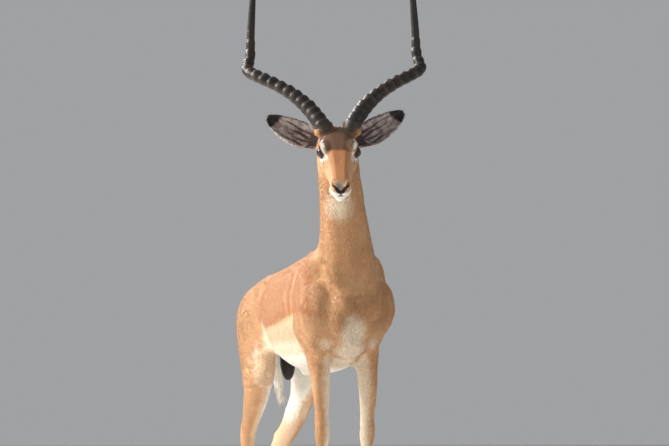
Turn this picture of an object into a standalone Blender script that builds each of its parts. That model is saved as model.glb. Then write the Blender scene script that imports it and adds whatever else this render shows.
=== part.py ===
"""Impala ram, life size, standing with its head turned to its right.

Metres, +Z up, the animal faces -Y and its left side is +X.
The flesh is modelled whole, as muscle and bone volumes that melt together,
and is then parted by thin cuts into head, neck, trunk, tail and limbs.
Horns, ears, eyes and hooves are made on their own and seated in the flesh.
"""

import math

import bmesh
import bpy
from mathutils import Matrix, Vector

# ---------------------------------------------------------------- driving sizes
GAP = 0.0006  # clearance that every cut and every seat leaves
SLIVER = 0.0002  # edges shorter than this are closed up
FLESH_VOXEL = 0.0075
HEAD_VOXEL = 0.0032
FLESH_TRIANGLES = 2300
HEAD_TRIANGLES = 1150

HEAD_YAW = math.radians(-18)  # turned from -Y towards the animal's right
HEAD_PITCH = math.radians(38)  # the face slopes this far below the level
HEAD_ROLL = math.radians(1)  # the animal's left ear stands a little higher
SKULL = Vector((-0.060, -0.108, 1.172))  # middle of the skull, between the ears
EYE_RADIUS = 0.0172
EYE_PLACE = (0.106, 0.0465, 0.021)  # along the face, to the side, above the axis
HORN_RIDGES = 17
HORN_RIDGED_SHARE = 0.70  # of the horn's length
RIDGE_HEIGHT = 0.0032
CORONET_HEIGHT = 0.040
HOOF_LENGTH = 0.066
CLAW_WIDTH = 0.0215
HOOF_SIDES = 10

COAT = (0.62, 0.36, 0.19, 1.0)
HORN = (0.055, 0.048, 0.045, 1.0)
EYE = (0.012, 0.008, 0.006, 1.0)
HOOF = (0.05, 0.042, 0.038, 1.0)
DARK_SKIN = (0.05, 0.04, 0.035, 1.0)
WHITE_COAT = (0.80, 0.74, 0.66, 1.0)

# Trunk, from the breast to the buttock:
# y, half width, height of the back, of the widest point and of the belly.
TRUNK = (
    (-0.128, 0.030, 0.735, 0.690, 0.640),
    (-0.095, 0.088, 0.790, 0.680, 0.580),
    (-0.045, 0.116, 0.845, 0.685, 0.540),
    (0.020, 0.128, 0.870, 0.690, 0.510),
    (0.100, 0.132, 0.870, 0.685, 0.494),
    (0.200, 0.140, 0.852, 0.680, 0.489),
    (0.310, 0.139, 0.833, 0.682, 0.503),
    (0.410, 0.127, 0.818, 0.690, 0.535),
    (0.490, 0.114, 0.808, 0.700, 0.574),
    (0.560, 0.102, 0.799, 0.705, 0.605),
    (0.620, 0.086, 0.781, 0.705, 0.620),
    (0.670, 0.060, 0.753, 0.702, 0.640),
    (0.703, 0.024, 0.722, 0.694, 0.662),
)

# Neck, from inside the chest to the nape:
# centre x, y, z, then half width, reach to the throat and to the crest.
NECK = (
    (0.000, 0.030, 0.700, 0.105, 0.140, 0.115),
    (-0.002, -0.020, 0.790, 0.096, 0.118, 0.118),
    (-0.015, -0.052, 0.890, 0.079, 0.088, 0.095),
    (-0.033, -0.075, 0.985, 0.070, 0.075, 0.078),
    (-0.049, -0.090, 1.075, 0.064, 0.066, 0.066),
    (-0.058, -0.098, 1.150, 0.058, 0.058, 0.058),
    (-0.060, -0.105, 1.195, 0.045, 0.045, 0.045),
)

# Head, from the occiput to the nose:
# distance along the face, half width, height of the brow line, depth of the jaw line, squareness.
HEAD = (
    (-0.020, 0.034, 0.026, 0.034, 2.0),
    (0.010, 0.050, 0.046, 0.062, 2.1),
    (0.045, 0.054, 0.053, 0.076, 2.2),
    (0.080, 0.053, 0.051, 0.080, 2.3),
    (0.110, 0.050, 0.045, 0.077, 2.4),
    (0.145, 0.043, 0.036, 0.068, 2.4),
    (0.180, 0.036, 0.028, 0.058, 2.4),
    (0.212, 0.031, 0.022, 0.051, 2.4),
    (0.240, 0.030, 0.018, 0.045, 2.4),
    (0.260, 0.027, 0.013, 0.037, 2.3),
    (0.274, 0.017, 0.004, 0.026, 2.1),
)

# Limb stations: height, y, half width, reach forwards, reach backwards.
FORELIMB = (
    (0.640, 0.030, 0.042, 0.060, 0.060),
    (0.560, 0.028, 0.041, 0.048, 0.060),
    (0.500, 0.018, 0.035, 0.035, 0.044),
    (0.440, 0.012, 0.028, 0.028, 0.031),
    (0.380, 0.010, 0.0225, 0.023, 0.024),
    (0.345, 0.009, 0.0225, 0.023, 0.022),
    (0.315, 0.007, 0.0240, 0.025, 0.024),
    (0.290, 0.008, 0.0215, 0.021, 0.023),
    (0.262, 0.011, 0.0160, 0.0165, 0.019),
    (0.190, 0.012, 0.0135, 0.0145, 0.017),
    (0.130, 0.013, 0.0145, 0.0155, 0.019),
    (0.102, 0.012, 0.0190, 0.0190, 0.024),
    (0.078, 0.002, 0.0180, 0.0170, 0.019),
    (0.058, -0.008, 0.0190, 0.0180, 0.019),
    (0.034, -0.016, 0.0200, 0.0200, 0.021),
)
FORE_X = {"left": 0.072, "right": -0.061}
FORE_SPLAY = 0.016  # how much closer together the forefeet stand than the elbows

# Each hind leg below the thigh, from the stifle to the coronet:
# x, y, z, half width, reach forwards, reach backwards. The left leg stands far back.
HIND_PATH = {
    "right": (
        (-0.090, 0.500, 0.530, 0.043, 0.050, 0.064),
        (-0.090, 0.515, 0.480, 0.044, 0.052, 0.060),
        (-0.087, 0.546, 0.430, 0.040, 0.048, 0.050),
        (-0.083, 0.582, 0.392, 0.034, 0.040, 0.040),
        (-0.079, 0.618, 0.358, 0.0285, 0.034, 0.033),
        (-0.078, 0.646, 0.326, 0.0260, 0.030, 0.032),
        (-0.077, 0.657, 0.296, 0.0245, 0.026, 0.028),
        (-0.077, 0.660, 0.265, 0.0205, 0.022, 0.024),
        (-0.076, 0.660, 0.200, 0.0145, 0.016, 0.018),
        (-0.076, 0.656, 0.130, 0.0155, 0.0165, 0.025),
        (-0.075, 0.652, 0.100, 0.0190, 0.0195, 0.027),
        (-0.075, 0.642, 0.077, 0.0180, 0.0170, 0.019),
        (-0.075, 0.632, 0.057, 0.0190, 0.0180, 0.019),
        (-0.075, 0.624, 0.034, 0.0200, 0.0200, 0.021),
    ),
    "left": (
        (0.092, 0.575, 0.490, 0.040, 0.050, 0.064),
        (0.091, 0.618, 0.430, 0.037, 0.048, 0.056),
        (0.089, 0.662, 0.384, 0.034, 0.044, 0.048),
        (0.086, 0.712, 0.340, 0.030, 0.041, 0.040),
        (0.083, 0.768, 0.299, 0.0265, 0.035, 0.034),
        (0.080, 0.814, 0.266, 0.0260, 0.033, 0.034),
        (0.078, 0.840, 0.236, 0.0240, 0.028, 0.030),
        (0.077, 0.858, 0.208, 0.0195, 0.022, 0.024),
        (0.075, 0.888, 0.164, 0.0140, 0.016, 0.018),
        (0.074, 0.922, 0.120, 0.0155, 0.0165, 0.025),
        (0.074, 0.938, 0.096, 0.0190, 0.0195, 0.027),
        (0.074, 0.938, 0.075, 0.0180, 0.0170, 0.019),
        (0.074, 0.932, 0.056, 0.0190, 0.0180, 0.019),
        (0.074, 0.926, 0.034, 0.0200, 0.0200, 0.021),
    ),
}
HOCK_ROW = 5  # of either path

# Each thigh, from the croup down to the stifle:
# x, y, z, half width, reach forwards, reach backwards.
THIGH = {
    "right": (
        (-0.050, 0.560, 0.772, 0.028, 0.080, 0.068),
        (-0.064, 0.560, 0.735, 0.046, 0.115, 0.102),
        (-0.072, 0.556, 0.680, 0.061, 0.132, 0.126),
        (-0.078, 0.546, 0.620, 0.058, 0.128, 0.124),
        (-0.088, 0.528, 0.560, 0.049, 0.114, 0.110),
        (-0.089, 0.515, 0.500, 0.046, 0.094, 0.096),
        (-0.090, 0.522, 0.455, 0.043, 0.064, 0.072),
    ),
    "left": (
        (0.050, 0.560, 0.772, 0.028, 0.080, 0.068),
        (0.064, 0.560, 0.735, 0.046, 0.115, 0.102),
        (0.072, 0.562, 0.680, 0.061, 0.138, 0.126),
        (0.078, 0.566, 0.620, 0.058, 0.146, 0.124),
        (0.086, 0.572, 0.560, 0.050, 0.150, 0.118),
        (0.091, 0.580, 0.500, 0.042, 0.138, 0.108),
        (0.092, 0.600, 0.450, 0.037, 0.100, 0.092),
        (0.091, 0.628, 0.410, 0.032, 0.062, 0.070),
    ),
}

# Tail along its core: x, y, z, half width.
TAIL = (
    (0.000, 0.640, 0.742, 0.015),
    (0.000, 0.690, 0.752, 0.018),
    (0.001, 0.722, 0.728, 0.017),
    (0.006, 0.731, 0.680, 0.017),
    (0.016, 0.731, 0.615, 0.021),
    (0.030, 0.727, 0.548, 0.024),
    (0.043, 0.721, 0.488, 0.020),
    (0.052, 0.716, 0.440, 0.006),
)

# Horn core line from the brow: outwards, backwards, upwards, radius.
HORN_LINE = (
    (0.032, -0.050, -0.034, 0.0240),
    (0.049, -0.038, -0.002, 0.0240),
    (0.084, 0.000, 0.047, 0.0218),
    (0.128, 0.035, 0.089, 0.0192),
    (0.179, 0.065, 0.123, 0.0175),
    (0.229, 0.103, 0.150, 0.0167),
    (0.256, 0.152, 0.174, 0.0160),
    (0.248, 0.182, 0.218, 0.0148),
    (0.245, 0.182, 0.288, 0.0122),
    (0.240, 0.167, 0.363, 0.0099),
    (0.234, 0.148, 0.438, 0.0070),
    (0.226, 0.130, 0.512, 0.0014),
)
HORN_SEAT_UP = 0.044  # the horn line's zero height above the skull's middle

# Ear: length, greatest half width, thickness, place of its root and its tilt on either side.
EAR_LENGTH = 0.189
EAR_HALF_WIDTH = 0.039
EAR_THICKNESS = 0.0036
EAR_BASE = (0.036, 0.012, -0.062)  # outwards, backwards, upwards from the horn line's zero
EAR_RISE = {"left": math.radians(27), "right": math.radians(24)}
EAR_SWEEP = math.radians(10)
SCROTUM = ((0.004, 0.514, 0.540), (0.026, 0.031, 0.070))  # centre and radii


# ---------------------------------------------------------------- frames of the head
HEAD_TURN = Matrix.Rotation(HEAD_YAW, 3, "Z") @ Matrix.Rotation(-HEAD_ROLL, 3, "Y")


def head_point(along, side, up):
    """A point of the pitched head: along the face, to the animal's left, above the face's axis."""
    level = Vector((side, -along * math.cos(HEAD_PITCH) - up * math.sin(HEAD_PITCH),
                    up * math.cos(HEAD_PITCH) - along * math.sin(HEAD_PITCH)))
    return SKULL + HEAD_TURN @ level


def crown_point(out, back, up):
    """A point of the level, turned head: outwards to the left, backwards, upwards."""
    return SKULL + HEAD_TURN @ Vector((out, back, up + HORN_SEAT_UP))


# ---------------------------------------------------------------- mesh helpers
def make_object(name, mesh, colour=COAT, roughness=0.8):
    """Link an object with a plain material of its own."""
    material = bpy.data.materials.get(name) or bpy.data.materials.new(name)
    material.use_nodes = True
    shader = material.node_tree.nodes["Principled BSDF"]
    shader.inputs["Base Color"].default_value = colour
    shader.inputs["Roughness"].default_value = roughness
    shader.inputs["Metallic"].default_value = 0.0
    if not mesh.materials:
        mesh.materials.append(material)
    thing = bpy.data.objects.new(name, mesh)
    bpy.context.scene.collection.objects.link(thing)
    return thing


def catmull_rom(rows, steps):
    """Rows of numbers, filled in between by a smooth curve through them all."""
    filled = []
    last = len(rows) - 1
    for k in range(steps + 1):
        place = min(k * last / steps, last - 1e-9)
        i = int(place)
        t = place - i
        before, start, end, after = (rows[max(0, min(last, i + j))] for j in (-1, 0, 1, 2))
        filled.append(tuple(
            0.5 * (2 * b + (c - a) * t + (2 * a - 5 * b + 4 * c - d) * t * t
                   + (3 * b - a - 3 * c + d) * t ** 3)
            for a, b, c, d in zip(before, start, end, after)))
    return filled


def ring(centre, side, up, half_width, above, below, power=2.0, count=24):
    """A closed superellipse section, which may reach further above its centre than below."""
    points = []
    for k in range(count):
        angle = math.tau * k / count
        across, rise = math.cos(angle), math.sin(angle)
        across = math.copysign(abs(across) ** (2 / power), across) * half_width
        reach = above if rise > 0 else below
        rise = math.copysign(abs(rise) ** (2 / power), rise) * reach
        points.append(centre + side * across + up * rise)
    return points


def loft(name, rings):
    """A closed mesh through the rings, each end closed by a fan."""
    mesh = bpy.data.meshes.new(name)
    bm = bmesh.new()
    layers = [[bm.verts.new(p) for p in points] for points in rings]
    count = len(layers[0])
    for low, high in zip(layers, layers[1:]):
        for k in range(count):
            n = (k + 1) % count
            bm.faces.new((low[k], low[n], high[n]))
            bm.faces.new((low[k], high[n], high[k]))
    for layer in (layers[0], layers[-1]):
        middle = bm.verts.new(sum((v.co for v in layer), Vector()) / count)
        for k in range(count):
            bm.faces.new((layer[k], layer[(k + 1) % count], middle))
    bmesh.ops.recalc_face_normals(bm, faces=bm.faces[:])
    bm.to_mesh(mesh)
    bm.free()
    return mesh


def along_path(rows, steps, side=Vector((1, 0, 0)), power=2.0, count=20):
    """Rings square to a path. Each row is x, y, z, half width, reach forwards, reach backwards."""
    rows = catmull_rom(rows, steps)
    centres = [Vector(row[:3]) for row in rows]
    frames = []
    for k in range(len(rows)):
        tangent = (centres[min(k + 1, len(rows) - 1)] - centres[max(k - 1, 0)]).normalized()
        across = (side - tangent * side.dot(tangent)).normalized()
        frames.append((across, tangent.cross(across).normalized()))
    sense = math.copysign(1.0, frames[len(frames) // 2][1].y)  # the second direction is backwards
    return [ring(centre, across, back * sense, row[3], row[5], row[4], power, count)
            for centre, (across, back), row in zip(centres, frames, rows)]


def ellipsoid(name, centre, radii, turn=(0, 0, 0), segments=24, bands=16):
    """A muscle or bone boss: a sphere with three radii, turned by degrees about X, Y and Z."""
    mesh = bpy.data.meshes.new(name)
    bm = bmesh.new()
    bmesh.ops.create_uvsphere(bm, u_segments=segments, v_segments=bands, radius=1.0)
    turned = Matrix.Identity(4)
    for axis, degrees in zip("XYZ", turn):
        turned = Matrix.Rotation(math.radians(degrees), 4, axis) @ turned
    place = Matrix.Translation(centre) @ turned @ Matrix.Diagonal((*radii, 1.0))
    bmesh.ops.transform(bm, matrix=place, verts=bm.verts[:])
    bm.to_mesh(mesh)
    bm.free()
    return mesh


def joined(name, meshes):
    """One mesh that holds all the given ones."""
    bm = bmesh.new()
    for mesh in meshes:
        bm.from_mesh(mesh)
        bpy.data.meshes.remove(mesh)
    mesh = bpy.data.meshes.new(name)
    bm.to_mesh(mesh)
    bm.free()
    return mesh


def finished_mesh(thing):
    """The object's mesh with its modifiers done."""
    bpy.context.view_layer.update()
    evaluated = thing.evaluated_get(bpy.context.evaluated_depsgraph_get())
    mesh = bpy.data.meshes.new_from_object(evaluated)
    mesh.transform(thing.matrix_world)
    return mesh


# ---------------------------------------------------------------- volumes of the body
def trunk_volumes():
    """Rib cage and belly, shoulder blades, upper arms, haunches and buttocks."""
    rings = []
    for y, half_width, back, widest, belly in catmull_rom(TRUNK, 40):
        rings.append(ring(Vector((0, y, widest)), Vector((1, 0, 0)), Vector((0, 0, 1)),
                          half_width, back - widest, widest - belly, 2.15, 28))
    meshes = [loft("trunk", rings)]
    for side in (-1, 1):
        meshes += [
            ellipsoid("shoulder_blade", (side * 0.092, 0.040, 0.742), (0.044, 0.078, 0.122),
                      (-16, -side * 14, 0)),
            ellipsoid("shoulder_point", (side * 0.096, -0.035, 0.678), (0.050, 0.064, 0.090), (12, 0, 0)),
            ellipsoid("upper_arm", (side * 0.096, 0.035, 0.632), (0.045, 0.078, 0.088), (-26, side * 6, 0)),
            ellipsoid("shoulder_top", (side * 0.076, 0.012, 0.765), (0.056, 0.075, 0.088), (-8, 0, 0)),
            ellipsoid("breast", (side * 0.045, -0.098, 0.655), (0.046, 0.040, 0.070), (10, 0, 0)),
            ellipsoid("croup", (side * 0.046, 0.510, 0.740), (0.050, 0.105, 0.052), (6, side * 12, 0)),
        ]
    meshes.append(ellipsoid("withers", (0, 0.075, 0.822), (0.045, 0.120, 0.050), (-4, 0, 0)))
    meshes.append(ellipsoid("brisket", (0, -0.035, 0.575), (0.060, 0.085, 0.050), (-14, 0, 0)))
    meshes.append(ellipsoid("sheath", (0, 0.335, 0.506), (0.018, 0.050, 0.020), (10, 0, 0)))
    return meshes


def hind_volumes(side):
    """Thigh, stifle, shank, hock with its point and tendon, cannon, fetlock and pastern of one hind leg."""
    thigh = [ring(Vector((x, y, z)), Vector((1, 0, 0)), Vector((0, 1, 0)), half_width, back, front, 2.1, 24)
             for x, y, z, half_width, front, back in catmull_rom(THIGH[side], 20)]
    rows = HIND_PATH[side]
    across = Vector((1, 0, 0))
    knee, hock = Vector(rows[1][:3]), Vector(rows[HOCK_ROW][:3])
    shin = (hock - knee).normalized()
    heel = shin.cross(across).normalized()  # square to the shin, towards the back of the leg
    heel = heel if heel.y > 0 else -heel
    tendon = [(*(place), *radii) for place, radii in (
        (hock - shin * 0.150 + heel * 0.037, (0.016, 0.016, 0.018)),
        (hock - shin * 0.090 + heel * 0.036, (0.010, 0.012, 0.010)),
        (hock - shin * 0.040 + heel * 0.038, (0.010, 0.012, 0.010)),
        (hock - shin * 0.008 + heel * 0.038, (0.013, 0.013, 0.013)),
        (Vector(rows[HOCK_ROW + 1][:3]) + Vector((0, 0.012, 0)), (0.012, 0.012, 0.012)),
        (Vector(rows[HOCK_ROW + 2][:3]) + Vector((0, 0.006, 0)), (0.010, 0.010, 0.010)),
    )]
    return [loft("thigh", thigh), loft("shank", along_path(rows, 56)),
            loft("hock_tendon", along_path(tendon, 24, count=12))]


def fore_rows(side):
    """The foreleg from the elbow to the coronet as path rows."""
    sign = 1 if side == "left" else -1
    top = FORELIMB[0][0]
    rows = []
    for z, y, half_width, front, back in FORELIMB:
        x = FORE_X[side] + sign * (0.012 - FORE_SPLAY * (top - z) / top)
        rows.append((x, y, z, half_width, front, back))
    return rows


def fore_volumes(side):
    """Forearm, knee, cannon, fetlock and pastern, and the elbow behind them."""
    rows = fore_rows(side)
    elbow = Vector(rows[1][:3]) + Vector((0, 0.040, 0.010))
    return [loft("foreleg", along_path(rows, 60)),
            ellipsoid("elbow", elbow, (0.030, 0.034, 0.040), (-20, 0, 0))]


def neck_volumes(first_row=0):
    """The neck, or only its upper part."""
    across = Matrix.Rotation(HEAD_YAW * 0.5, 3, "Z") @ Vector((1, 0, 0))
    return [loft("neck", along_path(NECK[first_row:], 30, side=across, power=2.1, count=24))]


def head_volumes():
    """Skull and muzzle, brow ridges over the eyes, cheeks, lips, nose and chin."""
    side = head_point(0, 1, 0) - SKULL
    up = head_point(0, 0, 1) - SKULL
    rings = []
    for along, half_width, brow, jaw, power in catmull_rom(HEAD, 40):
        rings.append(ring(head_point(along, 0, 0), side, up, half_width, brow, jaw, power, 28))
    meshes = [loft("skull", rings)]
    turn = (math.degrees(HEAD_PITCH), 0, math.degrees(HEAD_YAW))
    for sign in (-1, 1):
        meshes += [
            ellipsoid("brow", head_point(0.094, sign * 0.039, 0.036), (0.020, 0.034, 0.014), turn),
            ellipsoid("cheek_bone", head_point(0.110, sign * 0.038, -0.008), (0.019, 0.044, 0.018), turn),
            ellipsoid("cheek", head_point(0.060, sign * 0.030, -0.036), (0.026, 0.044, 0.040), turn),
            ellipsoid("horn_boss", crown_point(sign * 0.038, -0.036, -0.024), (0.029, 0.032, 0.026), turn),
            ellipsoid("lip", head_point(0.240, sign * 0.016, -0.018), (0.0155, 0.032, 0.018), turn),
            ellipsoid("nostril_wing", head_point(0.258, sign * 0.014, 0.004), (0.0125, 0.018, 0.0115), turn),
        ]
    meshes.append(ellipsoid("chin", head_point(0.224, 0, -0.046), (0.018, 0.034, 0.017), turn))
    meshes.append(ellipsoid("throat", head_point(0.035, 0, -0.052), (0.040, 0.050, 0.040), turn))
    return meshes


# ---------------------------------------------------------------- parts made on their own
def horn_stations():
    """Shares of the horn's length: a valley and a crest for each ridge, then a smooth tip."""
    stations = [(0.0, 0.0)]
    for k in range(HORN_RIDGES):
        for step, height in ((0.30, 0.0), (0.75, 1.0)):
            share = ((k + step) / HORN_RIDGES) ** 1.08
            fade = min(1.0, 0.55 + 1.6 * share) * min(1.0, 3.5 * (1.04 - share))
            stations.append((HORN_RIDGED_SHARE * share, height * fade))
    smooth_steps = 8
    for k in range(smooth_steps + 1):
        tip_share = (0.3 + k) / (0.3 + smooth_steps)
        stations.append((HORN_RIDGED_SHARE + (1 - HORN_RIDGED_SHARE) * tip_share, 0.0))
    return stations


def horn_rings(sign, grown=0.0):
    """Rings of one horn, ridged on its lower two thirds. Grown, it makes its own seat's cutter."""
    fine = catmull_rom(HORN_LINE, 240)
    points = [crown_point(sign * out, back, up) for out, back, up, _ in fine]
    lengths = [0.0]
    for a, b in zip(points, points[1:]):
        lengths.append(lengths[-1] + (b - a).length)
    forwards = HEAD_TURN @ Vector((0, -1, 0))
    rings = []
    for share, ridge in horn_stations():
        k = min(range(len(lengths)), key=lambda n: abs(lengths[n] - share * lengths[-1]))
        k = max(1, min(len(points) - 2, k)) if 0 < share < 1 else (0 if share == 0 else len(points) - 1)
        tangent = (points[min(k + 1, len(points) - 1)] - points[max(k - 1, 0)]).normalized()
        front = (forwards - tangent * forwards.dot(tangent)).normalized()
        across = front.cross(tangent).normalized()
        radius = fine[k][3] + ridge * RIDGE_HEIGHT + grown
        centre = points[k] - tangent * grown if share == 0 else points[k]
        rings.append(ring(centre, across, front, radius * 0.95, radius * 1.05, radius, 2.0, 8))
    return rings


def ear_axes(side):
    """Root of an ear, then its long axis, the way its back faces, and across."""
    sign = 1 if side == "left" else -1
    rise = EAR_RISE[side]
    axis = HEAD_TURN @ Vector((sign * math.cos(rise) * math.cos(EAR_SWEEP),
                               math.cos(rise) * math.sin(EAR_SWEEP),
                               math.sin(rise)))
    back = HEAD_TURN @ Vector((0, 1, 0))
    back = (back - axis * back.dot(axis)).normalized()
    upper = axis.cross(back).normalized() * sign
    root = crown_point(sign * EAR_BASE[0], EAR_BASE[1], EAR_BASE[2])
    return root, axis, back, upper


def ear_point(side, along, across):
    """A point of the cupped ear leaf; across runs from -1 on the lower edge to 1 on the upper."""
    root, axis, back, upper = ear_axes(side)
    shape = min(1.0, max(0.0, along))
    swell = 0.55 + 0.45 * (1 - math.cos(math.pi * min(1.0, 2 * shape))) / 2
    half = EAR_HALF_WIDTH * max(0.10, swell * (1 - shape ** 3) ** 0.5)
    wrap = math.radians(58 + 92 * (1 - shape) ** 1.8)
    angle = across * wrap
    radius = half / math.sin(min(wrap, math.pi / 2))
    cup = back * (radius * math.cos(angle) * 0.85) + upper * (radius * math.sin(angle))
    lift = upper * (0.009 * shape ** 3)
    return root + axis * (EAR_LENGTH * along) + cup + lift - back * 0.004


def ear_normal(side, along, across):
    """The way the back of the ear leaf faces at one of its points."""
    step = 0.02
    lengthwise = ear_point(side, along + step, across) - ear_point(side, along - step, across)
    sideways = ear_point(side, along, across + step) - ear_point(side, along, across - step)
    normal = lengthwise.cross(sideways).normalized()
    return normal if side == "left" else -normal


def ear_mesh(side, grown=0.0):
    """One ear as a thin cupped leaf, from its tubular root to its tip. Grown, it cuts its own seat."""
    alongs = [1 - (1 - i / 12) ** 1.3 for i in range(13)]  # closer together towards the blunt tip
    acrosses = [j / 3 - 1 for j in range(7)]
    if grown:
        alongs = [-grown / EAR_LENGTH] + alongs
        acrosses = [-1 - grown / EAR_HALF_WIDTH] + acrosses + [1 + grown / EAR_HALF_WIDTH]
    bm = bmesh.new()
    layers = []
    for sense in (1, -1):
        offset = sense * (EAR_THICKNESS / 2 + grown)
        layers.append([[bm.verts.new(ear_point(side, a, b) + ear_normal(side, a, b) * offset)
                        for b in acrosses] for a in alongs])
    outer, inner = layers
    for grid in layers:
        for low, high in zip(grid, grid[1:]):
            for j in range(len(acrosses) - 1):
                bm.faces.new((low[j], low[j + 1], high[j + 1]))
                bm.faces.new((low[j], high[j + 1], high[j]))
    rims = [(outer[0], inner[0]), (outer[-1], inner[-1])]
    rims += [([row[k] for row in outer], [row[k] for row in inner]) for k in (0, -1)]
    for edge, other in rims:
        for k in range(len(edge) - 1):
            bm.faces.new((edge[k], edge[k + 1], other[k + 1], other[k]))
    bmesh.ops.recalc_face_normals(bm, faces=bm.faces[:])
    mesh = bpy.data.meshes.new("ear")
    bm.to_mesh(mesh)
    bm.free()
    return mesh


def eyeball(radius, segments=12, bands=8):
    mesh = bpy.data.meshes.new("eye")
    bm = bmesh.new()
    bmesh.ops.create_uvsphere(bm, u_segments=segments, v_segments=bands, radius=radius)
    bm.to_mesh(mesh)
    bm.free()
    return mesh


def tail_rings(grown=0.0):
    rows = [(x, y, z, r + grown, r + grown, r + grown) for x, y, z, r in TAIL]
    return along_path(rows, 12, count=9)


def claw(sign):
    """One hoof claw: a pointed sole on the ground that leans back up to the coronet."""
    rings = []
    for height, length, half_width, set_back in (
        (0.0, HOOF_LENGTH, CLAW_WIDTH / 2, 0.0),
        (0.012, HOOF_LENGTH * 0.97, CLAW_WIDTH / 2, 0.002),
        (CORONET_HEIGHT * 0.72, HOOF_LENGTH * 0.78, CLAW_WIDTH * 0.47, 0.007),
        (CORONET_HEIGHT - GAP, HOOF_LENGTH * 0.64, CLAW_WIDTH * 0.43, 0.010),
    ):
        points = []
        for k in range(HOOF_SIDES):
            angle = math.tau * k / HOOF_SIDES
            across, along = math.cos(angle), math.sin(angle)
            taper = 1 - 0.55 * max(0.0, -along) ** 2
            inner = 0.62 if across * sign < 0 else 1.0
            width = across * half_width * taper * inner
            points.append(Vector((width, set_back + along * length / 2, height)))
        rings.append(points)
    return loft("claw", rings)


# ---------------------------------------------------------------- assembly
def at_height(rows, height):
    """The point of a limb's path at a height."""
    for a, b in zip(rows, rows[1:]):
        if a[2] >= height >= b[2]:
            share = (a[2] - height) / max(a[2] - b[2], 1e-9)
            return Vector(a[:3]).lerp(Vector(b[:3]), share)
    return Vector(rows[-1][:3])


def carved(mesh, cutters):
    """The mesh with each cutter's shape taken out of it in turn."""
    host = make_object("host", mesh)
    knives = [make_object("knife", cutter) for cutter in cutters]
    for knife in knives:
        modifier = host.modifiers.new("Cut", "BOOLEAN")
        modifier.operation = "DIFFERENCE"
        modifier.object = knife
        modifier.solver = "EXACT"
    done = finished_mesh(host)
    for thing in [host] + knives:
        bpy.data.objects.remove(thing)
    return done


def slab(centre, normal, width, depth):
    """A thin plate that parts whatever it passes through."""
    mesh = bpy.data.meshes.new("slab")
    bm = bmesh.new()
    bmesh.ops.create_cube(bm, size=1.0)
    turn = Vector(normal).normalized().to_track_quat("Z", "X").to_matrix().to_4x4()
    place = Matrix.Translation(centre) @ turn @ Matrix.Diagonal((width, depth, GAP, 1.0))
    bmesh.ops.transform(bm, matrix=place, verts=bm.verts[:])
    bm.to_mesh(mesh)
    bm.free()
    return mesh


def melted(name, meshes, voxel, passes, weight, triangles):
    """Melt overlapping volumes into one skin, smooth it where weight says, and thin it to its budget."""
    thing = make_object(name, joined(name, meshes))
    remesh = thing.modifiers.new("Melt", "REMESH")
    remesh.mode = "VOXEL"
    remesh.voxel_size = voxel
    remesh.adaptivity = 0.0
    mesh = finished_mesh(thing)
    bpy.data.objects.remove(thing)
    thing = make_object(name, mesh)
    group = thing.vertex_groups.new(name="blend")
    for vertex in mesh.vertices:
        group.add([vertex.index], weight(vertex.co), "REPLACE")
    smooth = thing.modifiers.new("Smooth", "SMOOTH")
    smooth.factor = 0.5
    smooth.iterations = passes
    smooth.vertex_group = "blend"
    thin = thing.modifiers.new("Thin", "DECIMATE")
    thin.ratio = triangles / (2.0 * len(mesh.polygons))
    mesh = finished_mesh(thing)
    bpy.data.objects.remove(thing)
    return mesh


def body_weight(point):
    """Full smoothing on the trunk, none on the slim limbs."""
    return max(0.06, min(1.0, (point.z - 0.44) / 0.10))


def head_weight(_):
    return 1.0


def parted(mesh, slabs, anchors):
    """Cut the mesh by the slabs and name each loose piece by the anchor nearest its middle."""
    cut = carved(mesh, slabs)
    bm = bmesh.new()
    bm.from_mesh(cut)
    bm.verts.index_update()
    bpy.data.meshes.remove(cut)
    pieces = {}
    unseen = set(bm.verts)
    while unseen:
        seed = unseen.pop()
        island, edge = {seed}, [seed]
        while edge:
            vertex = edge.pop()
            for link in vertex.link_edges:
                other = link.other_vert(vertex)
                if other in unseen:
                    unseen.discard(other)
                    island.add(other)
                    edge.append(other)
        low = Vector([min(v.co[k] for v in island) for k in range(3)])
        high = Vector([max(v.co[k] for v in island) for k in range(3)])
        name = min(anchors, key=lambda n: (anchors[n] - (low + high) / 2).length)
        pieces.setdefault(name, []).append(island)
    meshes = {}
    for name, islands in pieces.items():
        island = max(islands, key=len)
        part = bmesh.new()
        copies = {v: part.verts.new(v.co) for v in island}
        corners = {}
        for face in {f for v in island for f in v.link_faces}:
            corners.setdefault(frozenset(v.index for v in face.verts), []).append(face)
        for twins in corners.values():
            if len(twins) == 1:  # two faces on the same corners enclose nothing
                part.faces.new([copies[v] for v in twins[0].verts])
        bmesh.ops.remove_doubles(part, verts=part.verts[:], dist=SLIVER)
        bmesh.ops.dissolve_degenerate(part, edges=part.edges[:], dist=SLIVER)
        bmesh.ops.triangulate(part, faces=part.faces[:])
        meshes[name] = bpy.data.meshes.new(name)
        part.to_mesh(meshes[name])
        part.free()
    bm.free()
    return meshes


HEAD_CUT = (head_point(0.060, 0, -0.085), head_point(0.090, 0, 1.0) - SKULL)
NECK_CUT = (Vector((0, -0.045, 0.815)), Vector((0, -0.66, 0.75)))
FLANK_Y = 0.405
REAR_LENGTH = 0.7
LIMB_CUTS = {"fore": {"left": (0.496, 0.318, 0.108), "right": (0.496, 0.318, 0.108)},
             "hind": {"left": (0.425, 0.262, 0.106), "right": (0.478, 0.318, 0.110)}}
LIMB_PARTS = {"fore": ("forearm", "cannon", "pastern"), "hind": ("shank", "cannon", "pastern")}
SLAB_WIDTH = 0.13
SLAB_DEPTH = (0.33, 0.14, 0.14, 0.12)  # at the body, at the knee or hock, above the fetlock, at the coronet


def limb_rows():
    """Path rows of all four limbs."""
    rows = {("fore", side): fore_rows(side) for side in ("left", "right")}
    rows.update({("hind", side): HIND_PATH[side] for side in ("left", "right")})
    return rows


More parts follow.
